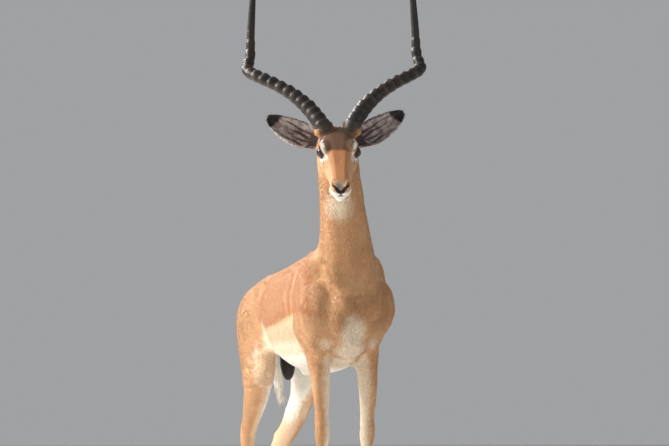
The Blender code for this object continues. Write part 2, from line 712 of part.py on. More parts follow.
def limb_slabs(limb, side, rows):
    """Plates that part one limb from the body and into its lengths, and those lengths' middles."""
    heights = LIMB_CUTS[limb][side] + (CORONET_HEIGHT,)
    slabs, anchors = [], {}
    for height, depth in zip(heights, SLAB_DEPTH):
        place = at_height(rows, height)
        slope = at_height(rows, height + 0.01) - at_height(rows, height - 0.01)
        level = height in (heights[0], CORONET_HEIGHT)
        slabs.append(slab(place, (0, 0, 1) if level else slope, SLAB_WIDTH, depth))
    for part, high, low in zip(LIMB_PARTS[limb], heights, heights[1:]):
        anchors[f"{limb}leg_{side}_{part}"] = (at_height(rows, high) + at_height(rows, low)) / 2
    anchors[f"drop_{limb}_{side}"] = at_height(rows, 0.037)
    return slabs, anchors


def flesh_parts():
    """Meshes of head, neck, trunk, haunches and limbs, parted from two melted skins."""
    body = trunk_volumes() + neck_volumes()
    slabs = [slab(*HEAD_CUT, 0.4, 0.4), slab(*NECK_CUT, 0.5, 0.5),
             slab(Vector((0, FLANK_Y, 0.70)), (0, 1, 0), 0.7, 0.7),
             slab(Vector((0, FLANK_Y + REAR_LENGTH / 2, 0.60)), (1, 0, 0), REAR_LENGTH, REAR_LENGTH)]
    anchors = {"drop_crown": Vector((-0.06, -0.11, 1.20)), "neck": Vector((-0.03, -0.06, 0.98)),
               "trunk": Vector((0, 0.15, 0.68)),
               "haunch_left": Vector((0.07, 0.56, 0.63)), "haunch_right": Vector((-0.07, 0.55, 0.65))}
    for (limb, side), rows in limb_rows().items():
        body += fore_volumes(side) if limb == "fore" else hind_volumes(side)
        more_slabs, more_anchors = limb_slabs(limb, side, rows)
        slabs += more_slabs
        anchors.update(more_anchors)
    skin = melted("flesh", body, FLESH_VOXEL, 26, body_weight, FLESH_TRIANGLES)
    parts = parted(skin, slabs, anchors)
    skull = melted("skull_flesh", head_volumes() + neck_volumes(3), HEAD_VOXEL, 22, head_weight,
                   HEAD_TRIANGLES)
    parts.update(parted(skull, [slab(*HEAD_CUT, 0.4, 0.4)],
                        {"head": Vector((-0.09, -0.18, 1.12)), "drop_neck": Vector((-0.04, -0.07, 1.03))}))
    return {name: mesh for name, mesh in parts.items() if not name.startswith("drop_")}


def seats(side):
    """Cutters for the seats that one side's horn, ear and eye need in the head."""
    sign = 1 if side == "left" else -1
    eye = eyeball(EYE_RADIUS + GAP)
    eye.transform(Matrix.Translation(eye_place(sign)))
    return [loft("horn_cutter", horn_rings(sign, GAP)), ear_mesh(side, GAP), eye]


def eye_place(sign):
    along, side, up = EYE_PLACE
    return head_point(along, sign * side, up)


def scrotum_mesh(grown=0.0):
    centre, radii = SCROTUM
    return ellipsoid("scrotum", centre, [r + grown for r in radii], (-6, 0, 0), 10, 8)


def build():
    """Every part of the model, parented to one empty that stands at the middle of its footprint."""
    for thing in list(bpy.data.objects):
        bpy.data.objects.remove(thing)
    meshes = flesh_parts()
    meshes["head"] = carved(meshes["head"], seats("left") + seats("right"))
    for side in ("left", "right"):
        name = f"haunch_{side}"
        meshes[name] = carved(meshes[name], [loft("tail_cutter", tail_rings(GAP)), scrotum_mesh(GAP)])
    parts = [make_object(name, mesh) for name, mesh in meshes.items()]
    parts.append(make_object("tail", loft("tail", tail_rings()), WHITE_COAT))
    parts.append(make_object("scrotum", scrotum_mesh(), DARK_SKIN, 0.6))
    for side, sign in (("left", 1), ("right", -1)):
        parts.append(make_object(f"horn_{side}", loft("horn", horn_rings(sign)), HORN, 0.5))
        parts.append(make_object(f"ear_{side}", ear_mesh(side)))
        eye = make_object(f"eye_{side}", eyeball(EYE_RADIUS), EYE, 0.05)
        eye.location = eye_place(sign)
        parts.append(eye)
    for (limb, side), rows in limb_rows().items():
        foot = at_height(rows, CORONET_HEIGHT)
        for place, sign in (("inner", -1), ("outer", 1)):
            out = sign * (1 if side == "left" else -1)
            hoof = make_object(f"hoof_{limb}_{side}_{place}", claw(out), HOOF, 0.45)
            hoof.location = (foot.x + out * (CLAW_WIDTH / 2 + 0.0008), foot.y - 0.010, 0)
            parts.append(hoof)
    gather(parts)
    return parts


def gather(parts):
    """Put the parts in the model's collection, under an empty that brings the whole over the origin."""
    model = bpy.data.collections.new("impala_ram")
    bpy.context.scene.collection.children.link(model)
    bpy.context.view_layer.update()
    corners = [part.matrix_world @ vertex.co for part in parts for vertex in part.data.vertices]
    middle = [(min(c[k] for c in corners) + max(c[k] for c in corners)) / 2 for k in range(2)]
    stand = bpy.data.objects.new("impala", None)
    stand.location = (-middle[0], -middle[1], 0)
    model.objects.link(stand)
    for part in parts:
        part.parent = stand
        part.data.shade_smooth()
        part.data.set_sharp_from_angle(angle=math.radians(42))
        bpy.context.scene.collection.objects.unlink(part)
        model.objects.link(part)


if __name__ == "__main__":
    build()
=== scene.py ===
"""Life-size impala ram: one skin with its coat, horns, eyes and hooves, on a plain stage.

Metres, +Z up; the animal faces -Y and its left side is +X. The skin is melted together from the
same muscle and bone volumes as the solids, a coat's depth smaller, then pressed into folds, and
tufts of hair grow from it along the lie of the coat.
"""

import math

import bmesh
import bpy
import numpy as np
from mathutils import Matrix, Vector
from mathutils.bvhtree import BVHTree


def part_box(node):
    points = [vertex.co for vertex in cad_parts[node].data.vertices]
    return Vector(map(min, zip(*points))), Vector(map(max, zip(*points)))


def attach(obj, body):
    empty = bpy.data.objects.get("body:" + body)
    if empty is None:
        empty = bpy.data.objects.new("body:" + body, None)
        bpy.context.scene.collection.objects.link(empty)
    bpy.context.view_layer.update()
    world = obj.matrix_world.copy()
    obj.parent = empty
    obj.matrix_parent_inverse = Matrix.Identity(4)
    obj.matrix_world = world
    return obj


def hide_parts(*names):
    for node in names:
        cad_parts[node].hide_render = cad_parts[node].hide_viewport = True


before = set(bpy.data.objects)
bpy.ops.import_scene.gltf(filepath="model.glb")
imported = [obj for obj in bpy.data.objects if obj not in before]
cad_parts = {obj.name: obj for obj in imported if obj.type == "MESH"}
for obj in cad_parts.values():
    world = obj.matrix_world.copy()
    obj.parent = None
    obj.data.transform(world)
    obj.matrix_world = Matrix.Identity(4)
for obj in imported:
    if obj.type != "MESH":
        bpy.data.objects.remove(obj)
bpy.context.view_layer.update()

bl_info = {
    "name": "Impala Ram",
    "version": (1, 0, 0),
    "blender": (4, 5, 0),
    "location": "3D View > Sidebar > Impala",
    "description": "Builds a life-size impala ram with its coat, horns, eyes, hooves and a plain stage",
    "category": "Add Mesh",
}

# ---- sizes of the animal, as in its solids
HEAD_YAW = math.radians(-18)
HEAD_PITCH = math.radians(38)
HEAD_ROLL = math.radians(1)
SKULL = Vector((-0.06, -0.108, 1.172))
EYE_RADIUS = 0.0172
SUNK_EYE = 0.0035  # the skin lies this far inside the eyeball where the eye is open
LID_OVER_EYE = 0.0011
EYE_PLACE = (0.106, 0.0465, 0.021)
LID_HALF_ANGLE = math.radians(62)
LID_UPPER = math.radians(45)
LID_LOWER = math.radians(34)
LID_TILT = math.radians(13)  # the corner towards the nose lies lower
LID_HALF_WIDTH = 0.0015
LID_THICKNESS = 0.0012
LASHES = 26
LASH_LENGTH = 0.0105
LASH_HALF_WIDTH = 0.0006
HORN_RIDGES = 17
HORN_RIDGED_SHARE = 0.7
RIDGE_HEIGHT = 0.0032
HOOF_LENGTH = 0.066
CLAW_WIDTH = 0.0215

TRUNK = (  # y, half width, heights of back, widest part and belly
    (-0.128, 0.03, 0.735, 0.69, 0.64),
    (-0.095, 0.088, 0.79, 0.68, 0.58),
    (-0.045, 0.116, 0.845, 0.685, 0.54),
    (0.02, 0.128, 0.87, 0.69, 0.51),
    (0.1, 0.132, 0.87, 0.685, 0.494),
    (0.2, 0.14, 0.852, 0.68, 0.489),
    (0.31, 0.139, 0.833, 0.682, 0.503),
    (0.41, 0.127, 0.818, 0.69, 0.535),
    (0.49, 0.114, 0.808, 0.7, 0.574),
    (0.56, 0.102, 0.799, 0.705, 0.605),
    (0.62, 0.086, 0.781, 0.705, 0.62),
    (0.67, 0.06, 0.753, 0.702, 0.64),
    (0.703, 0.024, 0.722, 0.694, 0.662),
)
NECK = (  # place, half width, reach forwards and backwards
    (0.0, 0.03, 0.7, 0.105, 0.14, 0.115),
    (-0.002, -0.02, 0.79, 0.096, 0.118, 0.118),
    (-0.015, -0.052, 0.89, 0.079, 0.088, 0.095),
    (-0.033, -0.075, 0.985, 0.07, 0.075, 0.078),
    (-0.049, -0.09, 1.075, 0.064, 0.066, 0.066),
    (-0.058, -0.098, 1.15, 0.058, 0.058, 0.058),
    (-0.06, -0.105, 1.195, 0.045, 0.045, 0.045),
)
HEAD = (  # along, half width, reach up and down, squareness
    (-0.02, 0.034, 0.026, 0.034, 2.0),
    (0.01, 0.05, 0.046, 0.062, 2.1),
    (0.045, 0.054, 0.053, 0.076, 2.2),
    (0.08, 0.053, 0.051, 0.08, 2.3),
    (0.11, 0.05, 0.045, 0.077, 2.4),
    (0.145, 0.043, 0.036, 0.068, 2.4),
    (0.18, 0.036, 0.028, 0.058, 2.4),
    (0.212, 0.031, 0.022, 0.051, 2.4),
    (0.24, 0.03, 0.018, 0.045, 2.4),
    (0.26, 0.027, 0.013, 0.037, 2.3),
    (0.274, 0.017, 0.004, 0.026, 2.1),
)
FORELIMB = (  # z, y, then as the neck
    (0.64, 0.03, 0.042, 0.06, 0.06),
    (0.56, 0.028, 0.041, 0.048, 0.06),
    (0.5, 0.018, 0.035, 0.035, 0.044),
    (0.44, 0.012, 0.028, 0.028, 0.031),
    (0.38, 0.01, 0.0225, 0.023, 0.024),
    (0.345, 0.009, 0.0225, 0.023, 0.022),
    (0.315, 0.007, 0.024, 0.025, 0.024),
    (0.29, 0.008, 0.0215, 0.021, 0.023),
    (0.262, 0.011, 0.016, 0.0165, 0.019),
    (0.19, 0.012, 0.0135, 0.0145, 0.017),
    (0.13, 0.013, 0.0145, 0.0155, 0.019),
    (0.102, 0.012, 0.019, 0.019, 0.024),
    (0.078, 0.002, 0.018, 0.017, 0.019),
    (0.058, -0.008, 0.019, 0.018, 0.019),
    (0.034, -0.016, 0.02, 0.02, 0.021),
)
FORE_X = {"left": 0.072, "right": -0.061}
FORE_SPLAY = 0.016
HIND_PATH = {  # rows as the neck's
    "right": (
        (-0.09, 0.5, 0.53, 0.043, 0.05, 0.064),
        (-0.09, 0.515, 0.48, 0.044, 0.052, 0.06),
        (-0.087, 0.546, 0.43, 0.04, 0.048, 0.05),
        (-0.083, 0.582, 0.392, 0.034, 0.04, 0.04),
        (-0.079, 0.618, 0.358, 0.0285, 0.034, 0.033),
        (-0.078, 0.646, 0.326, 0.026, 0.03, 0.032),
        (-0.077, 0.657, 0.296, 0.0245, 0.026, 0.028),
        (-0.077, 0.66, 0.265, 0.0205, 0.022, 0.024),
        (-0.076, 0.66, 0.2, 0.0145, 0.016, 0.018),
        (-0.076, 0.656, 0.13, 0.015, 0.0165, 0.019),
        (-0.075, 0.652, 0.1, 0.019, 0.0195, 0.024),
        (-0.075, 0.642, 0.077, 0.018, 0.017, 0.019),
        (-0.075, 0.632, 0.057, 0.019, 0.018, 0.019),
        (-0.075, 0.624, 0.034, 0.02, 0.02, 0.021),
    ),
    "left": (
        (0.092, 0.575, 0.49, 0.04, 0.05, 0.064),
        (0.091, 0.618, 0.43, 0.037, 0.048, 0.056),
        (0.089, 0.662, 0.384, 0.034, 0.044, 0.048),
        (0.086, 0.712, 0.34, 0.03, 0.041, 0.04),
        (0.083, 0.768, 0.299, 0.0265, 0.035, 0.034),
        (0.08, 0.814, 0.266, 0.026, 0.033, 0.034),
        (0.078, 0.84, 0.236, 0.024, 0.028, 0.03),
        (0.077, 0.858, 0.208, 0.0195, 0.022, 0.024),
        (0.075, 0.888, 0.164, 0.014, 0.016, 0.018),
        (0.074, 0.922, 0.12, 0.015, 0.0165, 0.019),
        (0.074, 0.938, 0.096, 0.019, 0.0195, 0.024),
        (0.074, 0.938, 0.075, 0.018, 0.017, 0.019),
        (0.074, 0.932, 0.056, 0.019, 0.018, 0.019),
        (0.074, 0.926, 0.034, 0.02, 0.02, 0.021),
    ),
}
HOCK_ROW = 5
FETLOCK_ROWS = slice(9, 11)
THIGH = {
    "right": (
        (-0.05, 0.56, 0.772, 0.028, 0.08, 0.068),
        (-0.064, 0.56, 0.735, 0.046, 0.115, 0.102),
        (-0.072, 0.556, 0.68, 0.061, 0.132, 0.126),
        (-0.078, 0.546, 0.62, 0.058, 0.128, 0.124),
        (-0.088, 0.528, 0.56, 0.049, 0.114, 0.11),
        (-0.089, 0.515, 0.5, 0.046, 0.094, 0.096),
        (-0.09, 0.522, 0.455, 0.043, 0.064, 0.072),
    ),
    "left": (
        (0.05, 0.56, 0.772, 0.028, 0.08, 0.068),
        (0.064, 0.56, 0.735, 0.046, 0.115, 0.102),
        (0.072, 0.562, 0.68, 0.061, 0.138, 0.126),
        (0.078, 0.566, 0.62, 0.058, 0.146, 0.124),
        (0.086, 0.572, 0.56, 0.05, 0.15, 0.118),
        (0.091, 0.58, 0.5, 0.042, 0.138, 0.108),
        (0.092, 0.6, 0.45, 0.037, 0.1, 0.092),
        (0.091, 0.628, 0.41, 0.032, 0.062, 0.07),
    ),
}
TAIL = (  # place, radius
    (0.0, 0.64, 0.742, 0.015),
    (0.0, 0.69, 0.752, 0.018),
    (0.001, 0.722, 0.728, 0.017),
    (0.006, 0.731, 0.68, 0.017),
    (0.016, 0.731, 0.615, 0.021),
    (0.03, 0.727, 0.548, 0.024),
    (0.043, 0.721, 0.488, 0.02),
    (0.052, 0.716, 0.44, 0.006),
)
HORN_LINE = (  # outwards, backwards, up, radius
    (0.032, -0.05, -0.034, 0.024),
    (0.049, -0.038, -0.002, 0.024),
    (0.084, 0.0, 0.047, 0.0218),
    (0.128, 0.035, 0.089, 0.0192),
    (0.179, 0.065, 0.123, 0.0175),
    (0.229, 0.103, 0.15, 0.0167),
    (0.256, 0.152, 0.174, 0.016),
    (0.248, 0.182, 0.218, 0.0148),
    (0.245, 0.182, 0.288, 0.0122),
    (0.24, 0.167, 0.363, 0.0099),
    (0.234, 0.148, 0.438, 0.007),
    (0.226, 0.13, 0.512, 0.0014),
)
HORN_FOOT = (0.036, -0.032, -0.026, 0.015)  # inside the skull's boss
HORN_ROOT_SHARE = 0.04  # of the line's steps, where the horn leaves the skin
HORN_SEAT_UP = 0.044
EAR_LENGTH = 0.189
EAR_HALF_WIDTH = 0.039
EAR_THICKNESS = 0.0036
EAR_LIFT = 0.009  # how far the tip bends up
EAR_BASE = (0.036, 0.012, -0.062)
EAR_RISE = {"left": math.radians(27), "right": math.radians(24)}
EAR_SWEEP = math.radians(10)
BODY_SMOOTHING = (26, 0.0075)  # passes at a size of cell
HEAD_SMOOTHING = (22, 0.0032)
TAIL_REACH = 0.022  # the tail's skin lies nearer than this to its line
SCROTUM = ((0.004, 0.514, 0.54), (0.03, 0.032, 0.072))
NOSTRIL = ((0.246, 0.0265, 0.011), (0.259, 0.021, 0.009), (0.268, 0.012, 0.003), (0.272, 0.005, -0.005))
MOUTH = ((0.272, 0.0, -0.02), (0.262, 0.016, -0.023), (0.247, 0.027, -0.028), (0.215, 0.032, -0.036),
         (0.185, 0.034, -0.042))
EAR_STREAKS = (  # start and end along the ear, place across it at each, half width
    (0.24, 0.8, 0.36, 0.58, 0.11),
    (0.24, 0.76, 0.02, 0.16, 0.13),
    (0.24, 0.72, -0.36, -0.24, 0.1),
    (0.3, 0.78, -0.74, -0.66, 0.1),
)

HEAD_TURN = Matrix.Rotation(HEAD_YAW, 3, "Z") @ Matrix.Rotation(-HEAD_ROLL, 3, "Y")
CAMERA_TURN = math.radians(-20)
CAMERA_TILT = math.radians(3.5)
SIDES = {"left": 1, "right": -1}
LEFT = Vector((1, 0, 0))


def head_point(along, side, up):
    """A point of the pitched head: along the face, to the animal's left, above the face's axis."""
    level = Vector((side, -along * math.cos(HEAD_PITCH) - up * math.sin(HEAD_PITCH),
                    up * math.cos(HEAD_PITCH) - along * math.sin(HEAD_PITCH)))
    return SKULL + HEAD_TURN @ level


def crown_point(out, back, up):
    """A point of the level, turned head: outwards to the left, backwards, upwards."""
    return SKULL + HEAD_TURN @ Vector((out, back, up + HORN_SEAT_UP))


def eye_place(sign):
    along, side, up = EYE_PLACE
    return head_point(along, sign * side, up)


def middle(node):
    """The middle of a solid's box."""
    low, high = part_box(node)
    return (low + high) / 2


STAND = middle("eye_left") - eye_place(1)  # from the animal's own frame to the model's
ALONG = head_point(1, 0, 0) - SKULL
SIDE = head_point(0, 1, 0) - SKULL
UP = head_point(0, 0, 1) - SKULL
HEAD_CUT = (head_point(0.060, 0, -0.085), head_point(0.090, 0, 1.0) - SKULL)
JOIN = (Vector((-0.037, -0.071, 1.000)), Vector((-0.03, -0.32, 1.0)).normalized())  # across the neck


# ---- mesh helpers
def linked(name, mesh):
    """A new object in the scene."""
    thing = bpy.data.objects.new(name, mesh)
    bpy.context.scene.collection.objects.link(thing)
    return thing


def catmull_rom(rows, steps):
    """Rows of numbers, filled in between by a smooth curve through them all."""
    filled = []
    last = len(rows) - 1
    for k in range(steps + 1):
        place = min(k * last / steps, last - 1e-9)
        i = int(place)
        t = place - i
        before, start, end, after = (rows[max(0, min(last, i + j))] for j in (-1, 0, 1, 2))
        filled.append(tuple(
            0.5 * (2 * b + (c - a) * t + (2 * a - 5 * b + 4 * c - d) * t * t
                   + (3 * b - a - 3 * c + d) * t ** 3)
            for a, b, c, d in zip(before, start, end, after)))
    return filled


def signed_power(value, power):
    """A power of a number's size, with the number's sign."""
    return math.copysign(abs(value) ** power, value)


def ring(centre, side, up, half_width, above, below, power=2.0, count=24):
    """A closed superellipse section, which may reach further above its centre than below."""
    points = []
    for k in range(count):
        angle = math.tau * k / count
        across, rise = math.cos(angle), math.sin(angle)
        across = signed_power(across, 2 / power) * half_width
        rise = signed_power(rise, 2 / power) * (above if rise > 0 else below)
        points.append(centre + side * across + up * rise)
    return points


def made_mesh(name, bm, outwards=True):
    """A bmesh as a mesh, its faces turned outwards; the bmesh goes."""
    if outwards:
        bmesh.ops.recalc_face_normals(bm, faces=bm.faces[:])
    mesh = bpy.data.meshes.new(name)
    bm.to_mesh(mesh)
    bm.free()
    return mesh


def loft(name, rings):
    """A closed mesh through the rings, each end closed by a fan."""
    bm = bmesh.new()
    layers = [[bm.verts.new(p) for p in points] for points in rings]
    count = len(layers[0])
    for low, high in zip(layers, layers[1:]):
        for k in range(count):
            n = (k + 1) % count
            bm.faces.new((low[k], low[n], high[n], high[k]))
    for layer in (layers[0], layers[-1]):
        hub = bm.verts.new(sum((v.co for v in layer), Vector()) / count)
        for k in range(count):
            bm.faces.new((layer[k], layer[(k + 1) % count], hub))
    return made_mesh(name, bm)


def along_path(rows, steps, side=LEFT, power=2.0, count=24):
    """Rings square to a path. Each row is x, y, z, half width, reach forwards, reach backwards."""
    rows = catmull_rom(rows, steps)
    centres = [Vector(row[:3]) for row in rows]
    frames = []
    for k in range(len(rows)):
        tangent = (centres[min(k + 1, len(rows) - 1)] - centres[max(k - 1, 0)]).normalized()
        across = (side - tangent * side.dot(tangent)).normalized()
        frames.append((across, tangent.cross(across).normalized()))
    sense = math.copysign(1.0, frames[len(frames) // 2][1].y)  # the second direction is backwards
    return [ring(centre, across, back * sense, row[3], row[5], row[4], power, count)
            for centre, (across, back), row in zip(centres, frames, rows)]


def ellipsoid(name, centre, radii, turn=(0, 0, 0)):
    """A muscle or bone boss: a sphere with three radii, turned by degrees about X, Y and Z."""
    bm = bmesh.new()
    bmesh.ops.create_uvsphere(bm, u_segments=32, v_segments=20, radius=1.0)
    turned = Matrix.Identity(4)
    for axis, degrees in zip("XYZ", turn):
        turned = Matrix.Rotation(math.radians(degrees), 4, axis) @ turned
    place = Matrix.Translation(centre) @ turned @ Matrix.Diagonal((*radii, 1.0))
    bmesh.ops.transform(bm, matrix=place, verts=bm.verts[:])
    return made_mesh(name, bm, outwards=False)


def joined(name, meshes):
    """One mesh that holds all the given ones."""
    bm = bmesh.new()
    for mesh in meshes:
        bm.from_mesh(mesh)
        bpy.data.meshes.remove(mesh)
    return made_mesh(name, bm, outwards=False)


def finished_mesh(thing):
    """The object's mesh with its modifiers done; the object goes."""
    bpy.context.view_layer.update()
    evaluated = thing.evaluated_get(bpy.context.evaluated_depsgraph_get())
    mesh = bpy.data.meshes.new_from_object(evaluated)
    bpy.data.objects.remove(thing)
    return mesh


def rows_of(items, field, width=3):
    """One field of many items, a row for each."""
    values = np.empty(len(items) * width, np.float32)
    items.foreach_get(field, values)
    return values.reshape(-1, width)


def arrays(mesh):
    """Places and normals of a mesh's points."""
    return rows_of(mesh.vertices, "co").astype(float), rows_of(mesh.vertex_normals, "vector").astype(float)


def put_places(mesh, places):
    mesh.vertices.foreach_set("co", places.astype(np.float32).ravel())
    mesh.update()


def put_attribute(mesh, name, values, kind="FLOAT"):
    """Store one number or vector for each point."""
    field = {"FLOAT": "value", "FLOAT_VECTOR": "vector"}[kind]
    layer = mesh.attributes.get(name) or mesh.attributes.new(name, kind, "POINT")
    layer.data.foreach_set(field, np.asarray(values, np.float32).ravel())


def read_attribute(mesh, name):
    """A number stored for each point."""
    return rows_of(mesh.attributes[name].data, "value", 1)[:, 0].astype(float)


def lengths(rows):
    """The length of each row."""
    return np.linalg.norm(rows, axis=1)


def ramp(values, low, high):
    """A smooth step from 0 at low to 1 at high."""
    share = np.clip((values - low) / (high - low), 0, 1)
    return share * share * (3 - 2 * share)


def blend(start, end, share):
    """From start at a share of 0 to end at 1; shares of points also blend rows."""
    return start * (1 - share) + end * share


def path_distance(points, path):
    """Each point's distance to a polyline."""
    nearest = np.full(len(points), np.inf)
    for a, b in zip(path, path[1:] or path):
        a, b = np.array(a), np.array(b)
        step = b - a
        share = np.clip((points - a) @ step / max(step @ step, 1e-12), 0, 1)
        nearest = np.minimum(nearest, lengths(points - a - share[:, None] * step))
    return nearest


def mirrored(path):
    return [(-x, y, z) for x, y, z in path]


def beside(row, out, back, up):
    """A place at an offset from a place or from a row of a leg's path."""
    return Vector(row[:3]) + Vector((out, back, up))


def on_face(sign, *points):
    """Points on one side of the face, each given along, beside and above its axis."""
    return [head_point(along, sign * side, up) for along, side, up in points]


def above_head_cut(points):
    """How far points lie past the plane between head and neck."""
    return (points - np.array(HEAD_CUT[0])) @ np.array(HEAD_CUT[1].normalized())


def tail_distance(points, first):
    """Each point's distance to the tail's line from one of its rows on."""
    return path_distance(points, [row[:3] for row in TAIL[first:]])


def horn_foot_distance(points, sign, rows):
    """Each point's distance to the lowest rows of a horn's line."""
    return path_distance(points, [crown_point(sign * out, back, up) for out, back, up, _ in HORN_LINE[:rows]])


def fetlock_tuft(leg, back):
    """The line of the black hair above a hind foot."""
    return [beside(row, 0, back, 0.004) for row in leg[FETLOCK_ROWS]]


# ---- volumes of the body
def trunk_volumes():
    """Rib cage and belly, shoulders, upper arms, breast, croup, withers and sheath."""
    upwards = Vector((0, 0, 1))
    meshes = [loft("trunk", [
        ring(Vector((0, y, widest)), LEFT, upwards, half_width, back - widest, widest - belly, 2.15, 40)
        for y, half_width, back, widest, belly in catmull_rom(TRUNK, 60)])]
    for side in (-1, 1):
        meshes += [ellipsoid(name, (side * out, back, up), radii, (lean, side * roll, 0))
                   for name, (out, back, up), radii, lean, roll in (
            ("shoulder_blade", (0.092, 0.04, 0.742), (0.044, 0.078, 0.122), -16, -14),
            ("shoulder_point", (0.096, -0.035, 0.678), (0.05, 0.064, 0.09), 12, 0),
            ("upper_arm", (0.096, 0.035, 0.632), (0.045, 0.078, 0.088), -26, 6),
            ("shoulder_top", (0.076, 0.012, 0.765), (0.056, 0.075, 0.088), -8, 0),
            ("breast", (0.045, -0.098, 0.655), (0.046, 0.04, 0.07), 10, 0),
            ("croup", (0.046, 0.51, 0.74), (0.05, 0.105, 0.052), 6, 12))]
    return meshes + [
        ellipsoid("withers", (0, 0.075, 0.822), (0.045, 0.12, 0.05), (-4, 0, 0)),
        ellipsoid("brisket", (0, -0.035, 0.575), (0.06, 0.085, 0.05), (-14, 0, 0)),
        ellipsoid("sheath", (0, 0.335, 0.506), (0.018, 0.05, 0.02), (10, 0, 0)),
    ]


def shin_frame(side):
    """The hock, the direction down the shin, and the way its heel points."""
    rows = HIND_PATH[side]
    knee, hock = Vector(rows[1][:3]), Vector(rows[HOCK_ROW][:3])
    shin = (hock - knee).normalized()
    heel = shin.cross(LEFT).normalized()
    return hock, shin, heel if heel.y > 0 else -heel


def hind_volumes(side):
    """Thigh, stifle, shank, hock with its point and tendon, cannon, fetlock and pastern of one hind leg."""
    thigh = [ring(Vector((x, y, z)), LEFT, Vector((0, 1, 0)), half_width, back, front, 2.1, 36)
             for x, y, z, half_width, front, back in catmull_rom(THIGH[side], 30)]
    rows = HIND_PATH[side]
    hock, shin, heel = shin_frame(side)
    tendon = [(*(hock - shin * down + heel * back), *radii) for down, back, radii in (
        (0.15, 0.037, (0.016, 0.016, 0.018)),
        (0.09, 0.036, (0.01, 0.012, 0.01)),
        (0.04, 0.038, (0.01, 0.012, 0.01)),
        (0.008, 0.038, (0.013, 0.013, 0.013)))]
    tendon.append((*beside(rows[HOCK_ROW + 1], 0, 0.012, 0), 0.012, 0.012, 0.012))
    tendon.append((*beside(rows[HOCK_ROW + 2], 0, 0.006, 0), 0.01, 0.01, 0.01))
    return [loft("thigh", thigh), loft("shank", along_path(rows, 90)),
            loft("hock_tendon", along_path(tendon, 30, count=14))]


def fore_rows(side):
    """The foreleg from the elbow to the coronet as path rows."""
    top = FORELIMB[0][0]
    return [(FORE_X[side] + SIDES[side] * (0.012 - FORE_SPLAY * (top - z) / top), y, z, *radii)
            for z, y, *radii in FORELIMB]


def fore_volumes(side):
    """Forearm, knee, cannon, fetlock and pastern, and the elbow behind them."""
    rows = fore_rows(side)
    return [loft("foreleg", along_path(rows, 90)),
            ellipsoid("elbow", beside(rows[1], 0, 0.04, 0.01), (0.03, 0.034, 0.04), (-20, 0, 0))]


def neck_volumes(first_row=0):
    """The neck, or only its upper part."""
    across = Matrix.Rotation(HEAD_YAW * 0.5, 3, "Z") @ LEFT
    return [loft("neck", along_path(NECK[first_row:], 40, side=across, power=2.1, count=36))]


def tail_core(slimmer):
    """The bare tail under its hair."""
    rows = [(x, y, z, *(max(0.003, r - slimmer * share),) * 3)
            for (x, y, z, r), share in zip(TAIL, (0.2, 0.35, 0.6, 0.85, 1.0, 1.0, 1.0, 0.3))]
    return [loft("tail", along_path(rows, 24, count=14))]


def head_volumes():
    """Skull and muzzle, brow ridges, eyeballs under their lids, cheeks, lips, nose and chin."""
    meshes = [loft("skull", [ring(head_point(along, 0, 0), SIDE, UP, half_width, brow, jaw, power, 40)
                             for along, half_width, brow, jaw, power in catmull_rom(HEAD, 60)])]
    turn = (math.degrees(HEAD_PITCH), 0, math.degrees(HEAD_YAW))
    lidded = EYE_RADIUS + 0.0022
    for sign in (-1, 1):
        meshes += [
            ellipsoid("brow", head_point(0.094, sign * 0.039, 0.035), (0.019, 0.032, 0.013), turn),
            ellipsoid("cheek_bone", head_point(0.11, sign * 0.038, -0.008), (0.019, 0.044, 0.018), turn),
            ellipsoid("cheek", head_point(0.06, sign * 0.03, -0.036), (0.026, 0.044, 0.04), turn),
            ellipsoid("horn_boss", crown_point(sign * 0.038, -0.036, -0.024), (0.029, 0.032, 0.026), turn),
            ellipsoid("lip", head_point(0.24, sign * 0.016, -0.018), (0.0155, 0.032, 0.018), turn),
            ellipsoid("nostril_wing", head_point(0.258, sign * 0.014, 0.004), (0.0125, 0.018, 0.0115), turn),
            ellipsoid("lids", eye_place(sign), (lidded, lidded, lidded)),
        ]
    return meshes + [
        ellipsoid("chin", head_point(0.224, 0, -0.046), (0.018, 0.034, 0.017), turn),
        ellipsoid("throat", head_point(0.035, 0, -0.052), (0.04, 0.05, 0.04), turn),
    ]


# ---- ears
def ear_axes(side):
    """Root of an ear, then its long axis, the way its back faces, and across."""
    sign = SIDES[side]
    rise = EAR_RISE[side]
    axis = HEAD_TURN @ Vector((sign * math.cos(rise) * math.cos(EAR_SWEEP),
                               math.cos(rise) * math.sin(EAR_SWEEP),
                               math.sin(rise)))
    back = HEAD_TURN @ Vector((0, 1, 0))
    back = (back - axis * back.dot(axis)).normalized()
    upper = axis.cross(back).normalized() * sign
    return crown_point(sign * EAR_BASE[0], EAR_BASE[1], EAR_BASE[2]), axis, back, upper


def ear_half(shape):
    """Half the leaf's width at shares of its length."""
    swell = 0.55 + 0.45 * (1 - np.cos(np.pi * np.minimum(1.0, 2 * shape))) / 2
    return EAR_HALF_WIDTH * np.maximum(0.1, swell * np.sqrt(1 - shape ** 3))


def ear_point(side, along, across):
    """A point of the cupped ear leaf; across runs from -1 on the lower edge to 1 on the upper."""
    root, axis, back, upper = ear_axes(side)
    shape = min(1.0, max(0.0, along))
    wrap = math.radians(58 + 92 * (1 - shape) ** 1.8)
    angle = across * wrap
    radius = float(ear_half(shape)) / math.sin(min(wrap, math.pi / 2))
    cup = back * (radius * math.cos(angle) * 0.85) + upper * (radius * math.sin(angle))
    lift = upper * (EAR_LIFT * shape ** 3)
    return root + axis * (EAR_LENGTH * along) + cup + lift - back * 0.004


